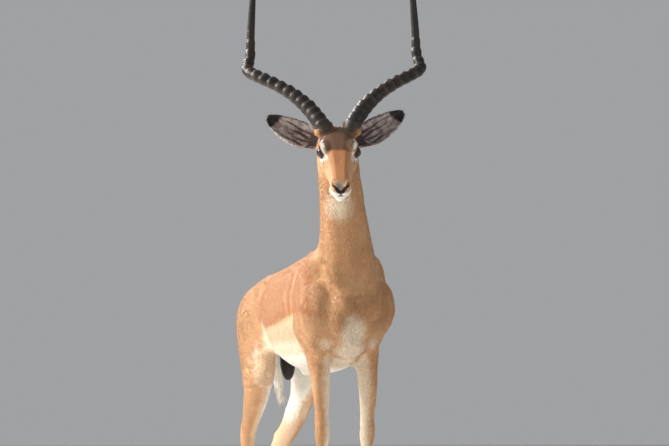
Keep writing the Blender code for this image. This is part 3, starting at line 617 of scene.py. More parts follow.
def ear_mesh(side):
    """One ear as a thin cupped leaf."""
    rows, columns = 44, 30
    grid = [[ear_point(side, 1 - (1 - i / rows) ** 1.3, j / (columns / 2) - 1) for j in range(columns + 1)]
            for i in range(rows + 1)]
    vertices = [p for row in grid for p in row]
    wide = columns + 1
    faces = [(i * wide + j, i * wide + j + 1, (i + 1) * wide + j + 1, (i + 1) * wide + j)
             for i in range(rows) for j in range(columns)]
    mesh = bpy.data.meshes.new("ear")
    mesh.from_pydata(vertices, [], faces)
    leaf = linked("leaf", mesh)
    wall = leaf.modifiers.new("Wall", "SOLIDIFY")
    wall.thickness = EAR_THICKNESS
    wall.offset = 0.0
    return finished_mesh(leaf)


def ear_coordinates(points, side):
    """Shares of the ear's length and of its half width for each point."""
    root, axis, _, upper = (np.array(v) for v in ear_axes(side))
    away = points - root
    along = away @ axis / EAR_LENGTH
    shape = np.clip(along, 0, 1)
    return along, (away @ upper - EAR_LIFT * shape ** 3) / ear_half(shape)


# ---- folds, bones and tendons of the skin
def neck_place(height, angle):
    """A point on the neck at a height; angle 0 is the throat and 90 degrees the animal's left."""
    rows = catmull_rom(NECK, 60)
    row = min(rows, key=lambda r: abs(r[2] - height))
    turn = math.radians(angle) + HEAD_YAW * 0.5
    reach = row[4] if abs(angle) < 90 else row[5]
    return (row[0] + row[3] * math.sin(turn), row[1] - reach * math.cos(turn), height)


def body_strokes():
    """Soft lines pressed into the body's skin: path, width, height (below 0 is a groove)."""
    one_sided = [
        ([(0.098, 0.062, 0.815), (0.122, 0.02, 0.74), (0.13, -0.012, 0.68)], 0.014, 0.004),
        ([(0.112, 0.122, 0.8), (0.134, 0.104, 0.72), (0.134, 0.078, 0.64)], 0.015, -0.006),
        ([(0.085, -0.045, 0.8), (0.112, -0.088, 0.725), (0.092, -0.118, 0.655)], 0.016, -0.0034),
        ([(0.082, -0.06, 0.8), (0.088, -0.088, 0.735), (0.066, -0.128, 0.672), (0.036, -0.15, 0.645)],
         0.013, -0.0046),
        ([(0.064, -0.095, 0.8), (0.068, -0.115, 0.735), (0.046, -0.142, 0.69)], 0.014, 0.0034),
        ([(0.128, 0.085, 0.7), (0.126, 0.06, 0.61)], 0.026, 0.005),
        ([(0.116, -0.08, 0.668)], 0.024, 0.0045),
        ([(0.118, 0.02, 0.6), (0.1, -0.012, 0.54)], 0.013, -0.0035),
        ([(0.105, 0.398, 0.752), (0.118, 0.405, 0.7)], 0.038, -0.0085),
        ([(0.112, 0.425, 0.64), (0.108, 0.4, 0.575)], 0.018, -0.006),
        ([(0.1, 0.47, 0.545), (0.1, 0.42, 0.556), (0.092, 0.38, 0.548)], 0.012, 0.0035),
        ([(0.086, 0.455, 0.785)], 0.02, 0.0065),
        ([(0.05, 0.668, 0.735)], 0.016, 0.0045),
        ([(0.03, -0.118, 0.69), (0.036, -0.11, 0.61)], 0.022, 0.005),
        ([(0.062, -0.085, 0.6), (0.052, -0.05, 0.548), (0.046, 0.01, 0.52)], 0.012, -0.006),
        ([(0.106, 0.58, 0.72), (0.12, 0.57, 0.64)], 0.034, 0.004),
    ]
    one_sided += [  # thin upright folds where the skin bunches over the shoulder
        ([(0.1 + 0.002 * k, 0.092 + 0.017 * k, 0.8 - 0.004 * k),
          (0.132, 0.086 + 0.016 * k, 0.725), (0.134, 0.066 + 0.016 * k, 0.655)],
         0.0085, 0.0013 if k % 2 else -0.0012) for k in range(5)]
    one_sided += [  # ribs
        ([(0.118, 0.15 + 0.032 * k, 0.775), (0.142, 0.165 + 0.032 * k, 0.69),
          (0.128, 0.18 + 0.032 * k, 0.6)], 0.009, 0.0013) for k in range(7)]
    strokes = one_sided + [(mirrored(path), width, height) for path, width, height in one_sided]
    strokes += [
        ([(0.0, -0.14, 0.7), (0.0, -0.132, 0.63), (0.0, -0.1, 0.56)], 0.012, -0.0075),
        ([(0.0, 0.15, 0.87), (0.0, 0.35, 0.828), (0.0, 0.52, 0.812)], 0.01, 0.002),
        ([(0.0, 0.54, 0.812), (0.0, 0.64, 0.785)], 0.016, -0.003),
    ]
    return strokes + [([neck_place(*place) for place in path], 0.018, height) for height, *path in (
        (0.0032, (0.76, -34), (0.86, -40), (1.0, -50)),
        (0.003, (0.76, 30), (0.86, 38), (1.0, 50)),
        (-0.0036, (0.74, -62), (0.86, -66), (1.0, -72)),
        (-0.0036, (0.74, 58), (0.86, 64), (1.0, 72)),
        (0.003, (0.8, 0), (1.0, 0)))]


def leg_strokes():
    """Tendons, bones and hollows of the legs."""
    strokes = []

    def cannon_groove(rows, out):
        return [beside(row, out * 0.014, 0.006, 0) for row in rows], 0.005, -0.0024

    for side, sign in SIDES.items():
        fore = fore_rows(side)
        knee = fore[6]
        for out in (-1, 1):
            strokes += [
                ([beside(knee, out * 0.016, -0.018, 0.018)], 0.009, 0.0022),
                ([beside(knee, out * 0.014, -0.021, -0.012)], 0.008, 0.0018),
                ([beside(knee, out * 0.024, 0.012, 0.012)], 0.008, -0.002),
            ]
            strokes.append(cannon_groove(fore[8:11], out))
            strokes.append(([beside(fore[11], out * 0.017, 0.012, 0.0)], 0.009, 0.0018))
        strokes += [
            ([beside(knee, 0, -0.024, 0.0)], 0.007, -0.0014),
            ([beside(knee, 0, 0.026, 0.004)], 0.009, 0.0028),
            ([beside(fore[3], sign * 0.02, -0.018, 0.03), beside(fore[4], sign * 0.018, -0.014, 0.02)],
             0.012, 0.003),
            ([beside(fore[2], sign * 0.026, 0.01, -0.01), beside(fore[4], sign * 0.021, 0.008, 0.0)],
             0.008, -0.003),
            ([beside(fore[2], -sign * 0.024, -0.012, 0.0), beside(fore[4], -sign * 0.018, -0.016, 0.02)],
             0.0045, 0.0016),
        ]
        rows = HIND_PATH[side]
        hock, shin, heel = shin_frame(side)
        for out in (-1, 1):
            hollow = [hock - shin * down + heel * back
                      for down, back in ((0.13, 0.024), (0.07, 0.02), (0.022, 0.019))]
            strokes.append(([p + Vector((out * 0.018, 0, 0)) for p in hollow], 0.0085, -0.0042))
            strokes.append(cannon_groove(rows[7:10], out))
            strokes.append(([beside(hock, out * 0.024, -0.004, 0.006)], 0.01, 0.0022))
            strokes.append(([beside(rows[10], out * 0.017, 0.012, 0.0)], 0.009, 0.0018))
        stretched = side == "left"
        stifle = beside(rows[0], sign * 0.03, -0.012 + 0.02 * stretched, -0.008)
        strokes += [
            ([stifle], 0.015, 0.005),
            ([beside(stifle, 0, -0.012, -0.022), beside(stifle, 0, 0.004, -0.06)], 0.009, 0.003),
            ([beside(stifle, 0.004 * sign, 0.02, -0.012)], 0.012, -0.0035),
            ([hock + heel * 0.044 - shin * 0.004], 0.01, 0.003),
            ([(sign * 0.118, 0.655, 0.7), (sign * 0.128, 0.632, 0.6),
              (sign * 0.118, 0.604 + 0.06 * stretched, 0.5)], 0.012, -0.0045),
            ([(sign * 0.124, 0.52, 0.62), (sign * 0.128, 0.54, 0.56)], 0.02, 0.003),
        ]
    return strokes


def head_strokes():
    """Brow, tear groove, cheek, lips, nostrils and mouth of the face."""
    one_sided = (
        (((0.128, 0.043, 0.03), (0.112, 0.051, 0.041), (0.092, 0.054, 0.039)), 0.005, 0.0016),
        (((0.128, 0.046, 0.006), (0.142, 0.041, 0.0), (0.154, 0.037, -0.004)), 0.0045, -0.0016),
        (((0.15, 0.038, 0.016), (0.175, 0.034, 0.008)), 0.008, -0.0016),
        (((0.112, 0.053, -0.012), (0.15, 0.043, -0.016), (0.19, 0.037, -0.02)), 0.006, 0.0018),
        (((0.095, 0.05, -0.03), (0.13, 0.044, -0.034), (0.165, 0.038, -0.034)), 0.009, -0.0008),
        (((0.045, 0.05, -0.05), (0.085, 0.046, -0.058), (0.12, 0.04, -0.056)), 0.007, 0.0016),
        (((0.05, 0.055, 0.015), (0.075, 0.054, 0.012)), 0.01, -0.002),
        (NOSTRIL, 0.0032, -0.006),
        (((0.238, 0.024, 0.018), (0.254, 0.022, 0.017), (0.266, 0.014, 0.011)), 0.004, 0.002),
        (((0.25, 0.03, 0.004), (0.262, 0.024, 0.0), (0.27, 0.013, -0.007)), 0.0032, 0.0018),
        (MOUTH, 0.0026, -0.003),
        (((0.266, 0.01, -0.014), (0.252, 0.024, -0.018), (0.215, 0.032, -0.026)), 0.0045, 0.0014),
        (((0.262, 0.008, -0.03), (0.24, 0.02, -0.036)), 0.006, 0.0022),
        (((0.13, 0.02, 0.042), (0.19, 0.014, 0.028), (0.24, 0.012, 0.018)), 0.005, 0.001),
    )
    strokes = []
    for sign in (-1, 1):
        strokes += [(on_face(sign, *path), width, height) for path, width, height in one_sided]
        outwards, backwards = Vector((sign * 0.84, 0.0, -0.54)), Vector((0.0, 1.0, 0.0))
        collar = [crown_point(sign * 0.04, -0.043, -0.018)
                  + HEAD_TURN @ (outwards * math.cos(turn) + backwards * math.sin(turn)) * 0.028
                  for turn in (math.tau * k / 12 for k in range(13))]
        strokes.append((collar, 0.009, 0.0034))
    return strokes + [
        (on_face(1, (0.274, 0, -0.002), (0.272, 0, -0.021)), 0.0018, -0.0018),
        (on_face(1, (0.11, 0, 0.048), (0.17, 0, 0.034)), 0.008, -0.001),
        (on_face(1, (0.06, 0, 0.055), (0.09, 0, 0.052)), 0.014, -0.002),
    ]


def pressed(mesh, strokes):
    """Raise or sink the skin along soft strokes, each first laid onto the surface."""
    places, normals = arrays(mesh)
    surface = BVHTree.FromPolygons([tuple(p) for p in places], [tuple(f.vertices) for f in mesh.polygons])
    rise = np.zeros(len(places))
    for path, width, height in strokes:
        laid = []
        for a, b in zip(path, path[1:] or path):
            parts = max(1, math.ceil((Vector(b) - Vector(a)).length / (1.5 * width)))
            laid += [surface.find_nearest(Vector(a).lerp(Vector(b), k / parts))[0] for k in range(parts + 1)]
        corners = np.array(laid)
        near = np.all((places > corners.min(0) - 2.4 * width) & (places < corners.max(0) + 2.4 * width),
                      axis=1).nonzero()[0]
        if len(near):
            rise[near] += height * np.exp(-(path_distance(places[near], laid) / width) ** 2)
    put_places(mesh, places + normals * rise[:, None])


def melted(name, meshes, voxel, smoothing, weight):
    """Melt overlapping volumes into one skin and smooth it where weight says."""
    passes_known, voxel_known = smoothing
    thing = linked(name, joined(name, meshes))
    remesh = thing.modifiers.new("Melt", "REMESH")
    remesh.mode = "VOXEL"
    remesh.voxel_size = voxel
    remesh.adaptivity = 0.0
    mesh = finished_mesh(thing)
    thing = linked(name, mesh)
    places, _ = arrays(mesh)
    group = thing.vertex_groups.new(name="blend")
    shares = np.round(weight(places), 2)
    for share in np.unique(shares):
        group.add(np.nonzero(shares == share)[0].tolist(), float(share), "REPLACE")
    smooth = thing.modifiers.new("Smooth", "SMOOTH")
    smooth.factor = 0.5
    smooth.iterations = round(passes_known * (voxel_known / voxel) ** 2)  # the same reach at any cell size
    smooth.vertex_group = "blend"
    return finished_mesh(thing)


def body_weight(places):
    """Full smoothing on the trunk, little on the slim limbs and the tail."""
    weight = np.clip((places[:, 2] - 0.44) / 0.1, 0.06, 1.0)
    return np.where(tail_distance(places, 2) < TAIL_REACH, 0.1, weight)


def head_weight(places):
    """Little smoothing on the thin ears."""
    weight = np.ones(len(places))
    for side in SIDES:
        along, _ = ear_coordinates(places, side)
        weight = np.minimum(weight, 1.0 - 0.92 * ramp(along, 0.2, 0.34))
    return weight


def coat_depth(places):
    """How far the bare skin lies below the tips of the coat."""
    depth = 0.0013 + 0.0029 * ramp(places[:, 2], 0.4, 0.55)
    depth = blend(depth, 0.0009, ramp(above_head_cut(places), -0.02, 0.05))
    for side in SIDES:
        along, _ = ear_coordinates(places, side)
        depth = depth + (0.0003 - depth) * ramp(along, 0.1, 0.35)
    return np.where(tail_distance(places, 1) < TAIL_REACH, 0.0003, depth)


def sunk(mesh):
    """The skin drawn in by the coat's depth."""
    places, normals = arrays(mesh)
    put_places(mesh, places - normals * coat_depth(places)[:, None])


def eye_frame(sign):
    """Ways an eye looks, towards the nose and up, as rows."""
    out = (SIDE * sign * 0.93 + ALONG * 0.26 + UP * 0.2).normalized()
    fore = (ALONG - out * ALONG.dot(out)).normalized()
    up = (UP - out * UP.dot(out) - fore * UP.dot(fore)).normalized()
    return np.array((out, fore, up))


def lid_height(share, upper):
    """Angle of a lid's edge above the eye's middle, for shares -1 at the rear corner to 1 at the front."""
    arch = np.maximum(0.0, 1 - np.abs(share) ** 2.1) ** 0.75
    return (LID_UPPER if upper else -LID_LOWER) * arch - LID_TILT * share


def opened_eyes(mesh):
    """Wrap the skin over each eyeball and sink it inside the almond opening."""
    places, _ = arrays(mesh)
    for sign in SIDES.values():
        centre = np.array(eye_place(sign))
        away = places - centre
        distance = lengths(away)
        look = away @ eye_frame(sign).T / np.maximum(distance, 1e-9)[:, None]
        share = np.arctan2(look[:, 1], np.maximum(look[:, 0], 1e-6)) / LID_HALF_ANGLE
        height = np.arcsin(np.clip(look[:, 2], -1, 1))
        facing = (look[:, 0] > 0.05) & (distance < EYE_RADIUS + 0.006)
        within = facing & (np.abs(share) < 1)
        clipped = np.clip(share, -1, 1)
        within &= (height < lid_height(clipped, True)) & (height > lid_height(clipped, False))
        target = np.where(within, EYE_RADIUS - SUNK_EYE, np.maximum(distance, EYE_RADIUS + LID_OVER_EYE))
        moved = np.where(facing, target, distance)
        places = centre + away / np.maximum(distance, 1e-9)[:, None] * moved[:, None]
    put_places(mesh, places)


def thinned(name, mesh, triangles):
    """The mesh with its flat stretches thinned to a budget of triangles."""
    thing = linked(name, mesh)
    thin = thing.modifiers.new("Thin", "DECIMATE")
    thin.ratio = min(1.0, triangles / (2.0 * len(mesh.polygons)))
    return finished_mesh(thing)


def halved(mesh, shift, keep_upper):
    """The mesh on one side of the cut across the neck, open there."""
    place, normal = JOIN
    bm = bmesh.new()
    bm.from_mesh(mesh)
    bmesh.ops.bisect_plane(bm, geom=bm.verts[:] + bm.edges[:] + bm.faces[:], dist=1e-6,
                           plane_co=place + normal * shift, plane_no=normal,
                           clear_inner=keep_upper, clear_outer=not keep_upper)
    bm.to_mesh(mesh)
    bm.free()


def bridged(head, body):
    """Head and body as one closed skin, joined by a band round the neck."""
    halved(head, 0.0025, True)
    halved(body, -0.0025, False)
    bm = bmesh.new()
    bm.from_mesh(head)
    bm.from_mesh(body)
    place, normal = JOIN
    first = normal.orthogonal().normalized()
    second = normal.cross(first)

    def turn(vertex):
        away = vertex.co - place
        return math.atan2(away.dot(second), away.dot(first))

    def above(vertex):
        return (vertex.co - place).dot(normal)

    rim = {v for edge in bm.edges if edge.is_boundary for v in edge.verts}
    upper = sorted((v for v in rim if above(v) > 0), key=turn)
    lower = sorted((v for v in rim if above(v) <= 0), key=turn)
    i = j = 0
    while i < len(upper) or j < len(lower):
        here, there = upper[i % len(upper)], lower[j % len(lower)]
        up_next = turn(upper[i]) if i < len(upper) else math.inf
        low_next = turn(lower[j]) if j < len(lower) else math.inf
        if up_next <= low_next:
            bm.faces.new((here, upper[(i + 1) % len(upper)], there))
            i += 1
        else:
            bm.faces.new((here, lower[(j + 1) % len(lower)], there))
            j += 1
    band = [v for v in bm.verts if abs(above(v)) < 0.012]
    for _ in range(6):
        bmesh.ops.smooth_vert(bm, verts=band, factor=0.5, use_axis_x=True, use_axis_y=True, use_axis_z=True)
    bmesh.ops.triangulate(bm, faces=bm.faces[:])
    return made_mesh("skin", bm)


def skin_mesh(settings):
    """The whole skin in the animal's own frame."""
    body = trunk_volumes() + neck_volumes() + tail_core(0.01)
    body.append(ellipsoid("scrotum", SCROTUM[0], SCROTUM[1], (-6, 0, 0)))
    for side in SIDES:
        body += fore_volumes(side) + hind_volumes(side)
    body = melted("body", body, settings.body_voxel, BODY_SMOOTHING, body_weight)
    sunk(body)
    pressed(body, body_strokes() + leg_strokes())
    head = head_volumes() + neck_volumes(2) + [ear_mesh(side) for side in SIDES]
    head = melted("head", head, settings.head_voxel, HEAD_SMOOTHING, head_weight)
    sunk(head)
    pressed(head, head_strokes())
    opened_eyes(head)
    body = thinned("body", body, settings.body_triangles)
    head = thinned("head", head, settings.head_triangles)
    return bridged(head, body)


# ---- trees of nodes
class Tree:
    """A small helper that adds and joins the nodes of a tree."""

    def __init__(self, tree):
        self.tree = tree
        tree.nodes.clear()

    def add(self, kind, inputs=None, **settings):
        """Add a node, set its properties, then set or link its inputs by name or number."""
        node = self.tree.nodes.new(kind)
        for key, value in settings.items():
            setattr(node, key, value)
        for key, value in (inputs or {}).items():
            self.feed(self.socket(node, key), value)
        return node

    def feed(self, socket, value):
        """Link an input to an output, or set its value."""
        if isinstance(value, bpy.types.NodeSocket):
            self.tree.links.new(value, socket)
        else:
            socket.default_value = value

    @staticmethod
    def socket(node, key):
        """An input by number, or the one of that name that is in use."""
        if isinstance(key, int):
            return node.inputs[key]
        return next(s for s in node.inputs if s.name == key and s.enabled)

    def math(self, operation, a, b=0.0, clamp=False):
        node = self.add("ShaderNodeMath", {0: a, 1: b}, operation=operation, use_clamp=clamp)
        return node.outputs[0]

    def times(self, a, b, clamp=False):
        return self.math("MULTIPLY", a, b, clamp)

    def plus(self, a, b):
        return self.math("ADD", a, b)

    def minus(self, a, b):
        return self.math("SUBTRACT", a, b)

    def combined(self, x=0.0, y=0.0, z=0.0):
        """A vector from its numbers."""
        return self.add("ShaderNodeCombineXYZ", {"X": x, "Y": y, "Z": z}).outputs[0]

    def stored(self, geometry, name, value, kind="FLOAT", domain="POINT"):
        """Keep a value on the geometry as a named attribute."""
        inputs = {"Geometry": geometry, "Name": name, "Value": value}
        return self.add("GeometryNodeStoreNamedAttribute", inputs, data_type=kind, domain=domain).outputs[0]

    def named(self, name, kind="FLOAT"):
        """Read a named attribute of the geometry."""
        return self.add("GeometryNodeInputNamedAttribute", {"Name": name}, data_type=kind).outputs[0]

    def vector(self, operation, a, b=(0, 0, 0), scale=None):
        node = self.add("ShaderNodeVectorMath", {0: a, 1: b}, operation=operation)
        if scale is not None:
            self.feed(node.inputs["Scale"], scale)
        return node.outputs["Value" if operation in ("DOT_PRODUCT", "LENGTH") else "Vector"]

    def step(self, value, low, high):
        """0 below low, 1 above high, smooth between."""
        node = self.add("ShaderNodeMapRange", {"Value": value, "From Min": low, "From Max": high},
                        interpolation_type="SMOOTHSTEP")
        return node.outputs["Result"]

    def mix(self, share, a, b):
        """Blend two colours."""
        node = self.add("ShaderNodeMix", {"Factor": share}, data_type="RGBA")
        for name, value in (("A", a), ("B", b)):
            socket = next(s for s in node.inputs if s.name == name and s.type == "RGBA")
            self.feed(socket, value if isinstance(value, bpy.types.NodeSocket) else (*value, 1.0))
        return next(s for s in node.outputs if s.type == "RGBA")

    def noise(self, vector, scale, detail=2.0, roughness=0.5):
        node = self.add("ShaderNodeTexNoise", {"Vector": vector, "Scale": scale, "Detail": detail,
                                               "Roughness": roughness})
        return node.outputs["Fac"]

    def attribute(self, name, output="Fac"):
        return self.add("ShaderNodeAttribute", attribute_name=name).outputs[output]

    def coordinates(self):
        return self.add("ShaderNodeTexCoord").outputs["Object"]

    def bump(self, height, distance, strength=1.0):
        node = self.add("ShaderNodeBump", {"Height": height, "Distance": distance, "Strength": strength})
        return node.outputs["Normal"]

    def surface(self, colour, roughness, specular, more=None):
        """The shader and its output."""
        inputs = {"Base Color": colour, "Roughness": roughness, "Specular IOR Level": specular}
        shader = self.add("ShaderNodeBsdfPrincipled", {**inputs, **(more or {})})
        self.add("ShaderNodeOutputMaterial", {"Surface": shader.outputs[0]})


def new_material(name):
    """A material and the helper for its tree."""
    material = bpy.data.materials.new(name)
    material.use_nodes = True
    return material, Tree(material.node_tree)


def set_input(modifier, name, value):
    """Set a Geometry Nodes input through its socket's identifier."""
    item = next(item for item in modifier.node_group.interface.items_tree
                if item.item_type == "SOCKET" and item.in_out == "INPUT" and item.name == name)
    modifier[item.identifier] = value


def new_geometry_tree(name, inputs):
    """A Geometry Nodes tree with geometry in and out and the given named inputs."""
    group = bpy.data.node_groups.new(name, "GeometryNodeTree")
    group.interface.new_socket("Geometry", in_out="INPUT", socket_type="NodeSocketGeometry")
    group.interface.new_socket("Geometry", in_out="OUTPUT", socket_type="NodeSocketGeometry")
    for label, kind, value in inputs:
        socket = group.interface.new_socket(label, in_out="INPUT", socket_type="NodeSocket" + kind)
        if value is not None:
            socket.default_value = value
    return group, Tree(group)


def made_by_nodes(name, host, group, values):
    """Run a Geometry Nodes tree on a mesh or curve and keep the result as a plain mesh object."""
    thing = linked(name + "_host", host)
    modifier = thing.modifiers.new("Nodes", "NODES")
    modifier.node_group = group
    for label, value in values.items():
        set_input(modifier, label, value)
    mesh = finished_mesh(thing)
    mesh.name = name
    return mesh


def placed(name, mesh, material):
    """A finished piece: its mesh moved to where the model stands, its object at the origin."""
    mesh.transform(Matrix.Translation(STAND))
    mesh.materials.clear()
    mesh.materials.append(material)
    mesh.shade_smooth()
    mesh.update()
    return linked(name, mesh)


# ---- horns
def horn_material(settings):
    material, tree = new_material("Horn")
    place = tree.coordinates()
    along = tree.attribute("along")
    ridge = tree.attribute("ridge")
    around = tree.attribute("around")
    grain_place = tree.combined(tree.times(around, 34.0), tree.times(along, 7.0))
    grain = tree.noise(grain_place, 1.0, 3.0, 0.6)
    blotch = tree.noise(place, 42.0, 3.0, 0.6)
    worn = tree.times(tree.step(ridge, 0.45, 0.95), tree.step(blotch, 0.42, 0.66))
    base = tree.mix(tree.step(grain, 0.35, 0.7), tuple(settings.horn_dark), tuple(settings.horn_light))
    base = tree.mix(tree.times(worn, 0.55), base, (0.085, 0.065, 0.05))
    foot = tree.minus(1.0, tree.step(along, 0.0, 0.05))
    base = tree.mix(tree.times(foot, 0.7), base, (0.055, 0.041, 0.031))
    height = tree.plus(tree.times(grain, 0.6), tree.times(blotch, 0.4))
    rough = tree.plus(0.32, tree.times(blotch, 0.24))
    tree.surface(base, rough, 0.32, {"Normal": tree.bump(height, 0.0009, 0.9)})
    return material


def ridge_count(share):
    """How many ridges lie below a share of a horn's length; they stand wider apart further out."""
    return HORN_RIDGES * (np.maximum(share, 0.0) / HORN_RIDGED_SHARE) ** (1 / 1.08)


def ridge_height(share):
    """How far a horn's ridge stands out, from 0 in a valley to 1 on a crest, at a share of its length."""
    if share >= HORN_RIDGED_SHARE or share <= 0:
        return 0.0
    ridges = ridge_count(share)
    place = ridges - math.floor(ridges)
    saw = place / 0.72 if place < 0.72 else (1 - place) / 0.28
    done = share / HORN_RIDGED_SHARE
    fade = min(1.0, 0.55 + 1.6 * done) * min(1.0, 3.5 * (1.04 - done))
    return fade * (0.5 - 0.5 * math.cos(math.pi * saw)) ** 0.8


def horn_tree():
    """Sweep a round profile along a horn's line, sized by the radius stored on the line."""
    group, tree = new_geometry_tree("Ridged Horn", (
        ("Sides", "Int", 40),
        ("Material", "Material", None),
    ))
    given = tree.add("NodeGroupInput").outputs
    radius = tree.named("thickness")
    ring_curve = tree.add("GeometryNodeCurvePrimitiveCircle", {"Resolution": given["Sides"], "Radius": 1.0})
    around = tree.add("GeometryNodeSplineParameter").outputs["Factor"]
    marked = tree.stored(ring_curve.outputs[0], "around", around)
    line = tree.add("GeometryNodeMeshToCurve", {"Mesh": given["Geometry"]})
    sized = tree.add("GeometryNodeSetCurveRadius", {"Curve": line.outputs[0], "Radius": radius})
    swept = tree.add("GeometryNodeCurveToMesh", {"Curve": sized.outputs[0], "Profile Curve": marked,
                                                 "Scale": radius, "Fill Caps": True})
    real = tree.add("GeometryNodeRealizeInstances", {"Geometry": swept.outputs[0]})
    done = tree.add("GeometryNodeSetMaterial", {"Geometry": real.outputs[0], "Material": given["Material"]})
    tree.add("NodeGroupOutput", {"Geometry": done.outputs[0]})
    return group


def sampled(at, places, rows):
    """Rows known at some places, read between them."""
    return np.array([np.interp(at, places, column) for column in rows.T]).T


def horn_line(sign, steps):
    """One horn's middle line, with its radius, ridge and share of length at each point."""
    fine = catmull_rom(HORN_LINE, 400)
    fine = [HORN_FOOT] + fine[round(400 * HORN_ROOT_SHARE):]
    points = [crown_point(sign * out, back, up) for out, back, up, _ in fine]
    reached = np.concatenate(([0.0], np.cumsum([(b - a).length for a, b in zip(points, points[1:])])))
    reached -= reached[1]
    shares = np.linspace(reached[0] / reached[-1], 1, steps)
    rows = sampled(shares * reached[-1], reached, np.array([[*p, row[3]] for p, row in zip(points, fine)]))
    ridges = np.array([ridge_height(share) for share in shares])
    mesh = bpy.data.meshes.new("line")
    mesh.from_pydata([tuple(row[:3]) for row in rows], [(k, k + 1) for k in range(steps - 1)], [])
    thickness = rows[:, 3] - 0.0022 * (1 - ramp(shares, 0.0, 0.03))
    thickness[-1] = 0.0008
    for name, values in (("thickness", thickness), ("ridge", ridges), ("along", shares)):
        put_attribute(mesh, name, values)
    return mesh


def ridged(mesh, sign):
    """Raise the ridges of a swept horn, high on its front and upper side and faint behind."""
    places, _ = arrays(mesh)
    share, ridge = (read_attribute(mesh, name) for name in ("along", "ridge"))
    line = horn_line(sign, 600)
    centres, _ = arrays(line)
    line_share = read_attribute(line, "along")
    bpy.data.meshes.remove(line)
    tangent = sampled(share, line_share, np.gradient(centres, axis=0))
    tangent /= lengths(tangent)[:, None]

    def squared_off(ways):
        """The ways with their part along the horn taken out."""
        return ways - tangent * np.sum(tangent * ways, axis=1)[:, None]

    front = squared_off(np.array(HEAD_TURN @ Vector((0, -0.75, 0.66)))[None, :])
    front /= lengths(front)[:, None]
    away = squared_off(places - sampled(share, line_share, centres))
    out = away / np.maximum(lengths(away), 1e-6)[:, None]
    facing = ramp(np.sum(out * front, axis=1), -0.6, 0.7)
    number = np.floor(ridge_count(share))
    uneven = 0.82 + 0.36 * np.modf(np.abs(np.sin(number * 12.9898 + sign) * 43758.5453))[0]
    rise = (ridge * uneven * (0.45 + 1.15 * facing) - 0.16 - 0.44 * facing) * RIDGE_HEIGHT
    rise = rise * ramp(share, 0.0, 0.03) * ramp(HORN_RIDGED_SHARE + 0.02 - share, 0.0, 0.05)
    put_places(mesh, places + out * rise[:, None])


# ---- hooves
def hoof_material(settings):
    material, tree = new_material("Hoof")
    place = tree.coordinates()
    height = tree.add("ShaderNodeSeparateXYZ", {"Vector": place}).outputs["Z"]
    wavy = tree.times(tree.noise(place, 30.0), 1.5)
    bands = tree.noise(tree.combined(z=tree.plus(tree.times(height, 260.0), wavy)), 1.0)
    grain = tree.noise(tree.vector("MULTIPLY", place, (900.0, 900.0, 60.0)), 1.0)
    base = tree.mix(tree.step(bands, 0.3, 0.7), tuple(settings.hoof_dark), tuple(settings.hoof_light))
    dust = tree.minus(1.0, tree.step(height, 0.0, 0.016))
    base = tree.mix(tree.times(dust, 0.55), base, (0.17, 0.13, 0.095))
    surface = tree.plus(tree.times(bands, 0.7), tree.times(grain, 0.3))
    tree.surface(base, 0.42, 0.5, {"Normal": tree.bump(surface, 0.0006, 0.7)})
    return material


def claw_mesh(sign):
    """One hoof claw: a pointed sole on the ground, bevelled edge, growth rings and a soft coronet."""
    table = (  # height, length, half width, set back
        (0.0, 0.96, 0.48, 0.0008),
        (0.0016, 0.995, 0.498, 0.0002),
        (0.004, 0.998, 0.5, 0.0004),
        (0.012, 0.97, 0.5, 0.002),
        (0.02, 0.89, 0.488, 0.0046),
        (0.0288, 0.78, 0.47, 0.007),
        (0.035, 0.69, 0.446, 0.009),
        (0.0385, 0.64, 0.425, 0.01),
        (0.04, 0.56, 0.38, 0.0104),
    )
    rings = []
    for height, length, half_width, set_back in catmull_rom(table, 34):
        growth = 1 + 0.01 * math.sin(height * 1500) * min(1.0, 40 * height)
        points = []
        for k in range(36):
            angle = math.tau * k / 36
            across, along = math.cos(angle), math.sin(angle)
            taper = 1 - 0.5 * max(0.0, -along) ** 2
            inner = 0.66 if across * sign < 0 else 1.0
            side = signed_power(across, 0.85) * CLAW_WIDTH * half_width * taper * inner
            front = along * HOOF_LENGTH * length / 2
            points.append(Vector((side * growth, set_back + front * growth, height)))
        rings.append(points)
    return loft("claw", rings)


# ---- eyes
def eye_material():
    """A moist dark eye: brown iris, a wide level pupil and a dark rim."""
    material, tree = new_material("Eye")
    across = tree.attribute("pupil_across")
    rise = tree.attribute("pupil_rise")
    wide, high = tree.math("DIVIDE", across, 0.62), tree.math("DIVIDE", rise, 0.3)
    pupil = tree.vector("LENGTH", tree.combined(wide, high))
    ring_share = tree.vector("LENGTH", tree.combined(across, rise))
    turn = tree.math("ARCTAN2", rise, across)
    streaks = tree.noise(tree.combined(tree.times(turn, 9.0), tree.times(ring_share, 1.2)), 2.0)
    iris = tree.mix(streaks, (0.03, 0.013, 0.006), (0.07, 0.032, 0.013))
    colour = tree.mix(tree.step(pupil, 0.9, 1.1), (0.004, 0.004, 0.005), iris)
    colour = tree.mix(tree.step(ring_share, 0.86, 1.02), colour, (0.012, 0.008, 0.006))
    tree.surface(colour, 0.14, 0.25, {"Coat Weight": 0.18, "Coat Roughness": 0.03})
    return material


def bare_material():
    """Damp bare skin of the lids."""
    material, tree = new_material("Bare Skin")
    pores = tree.noise(tree.coordinates(), 1400.0)
    tree.surface((0.02, 0.016, 0.015, 1.0), 0.36, 0.5, {"Normal": tree.bump(pores, 0.0002, 0.6)})
    return material


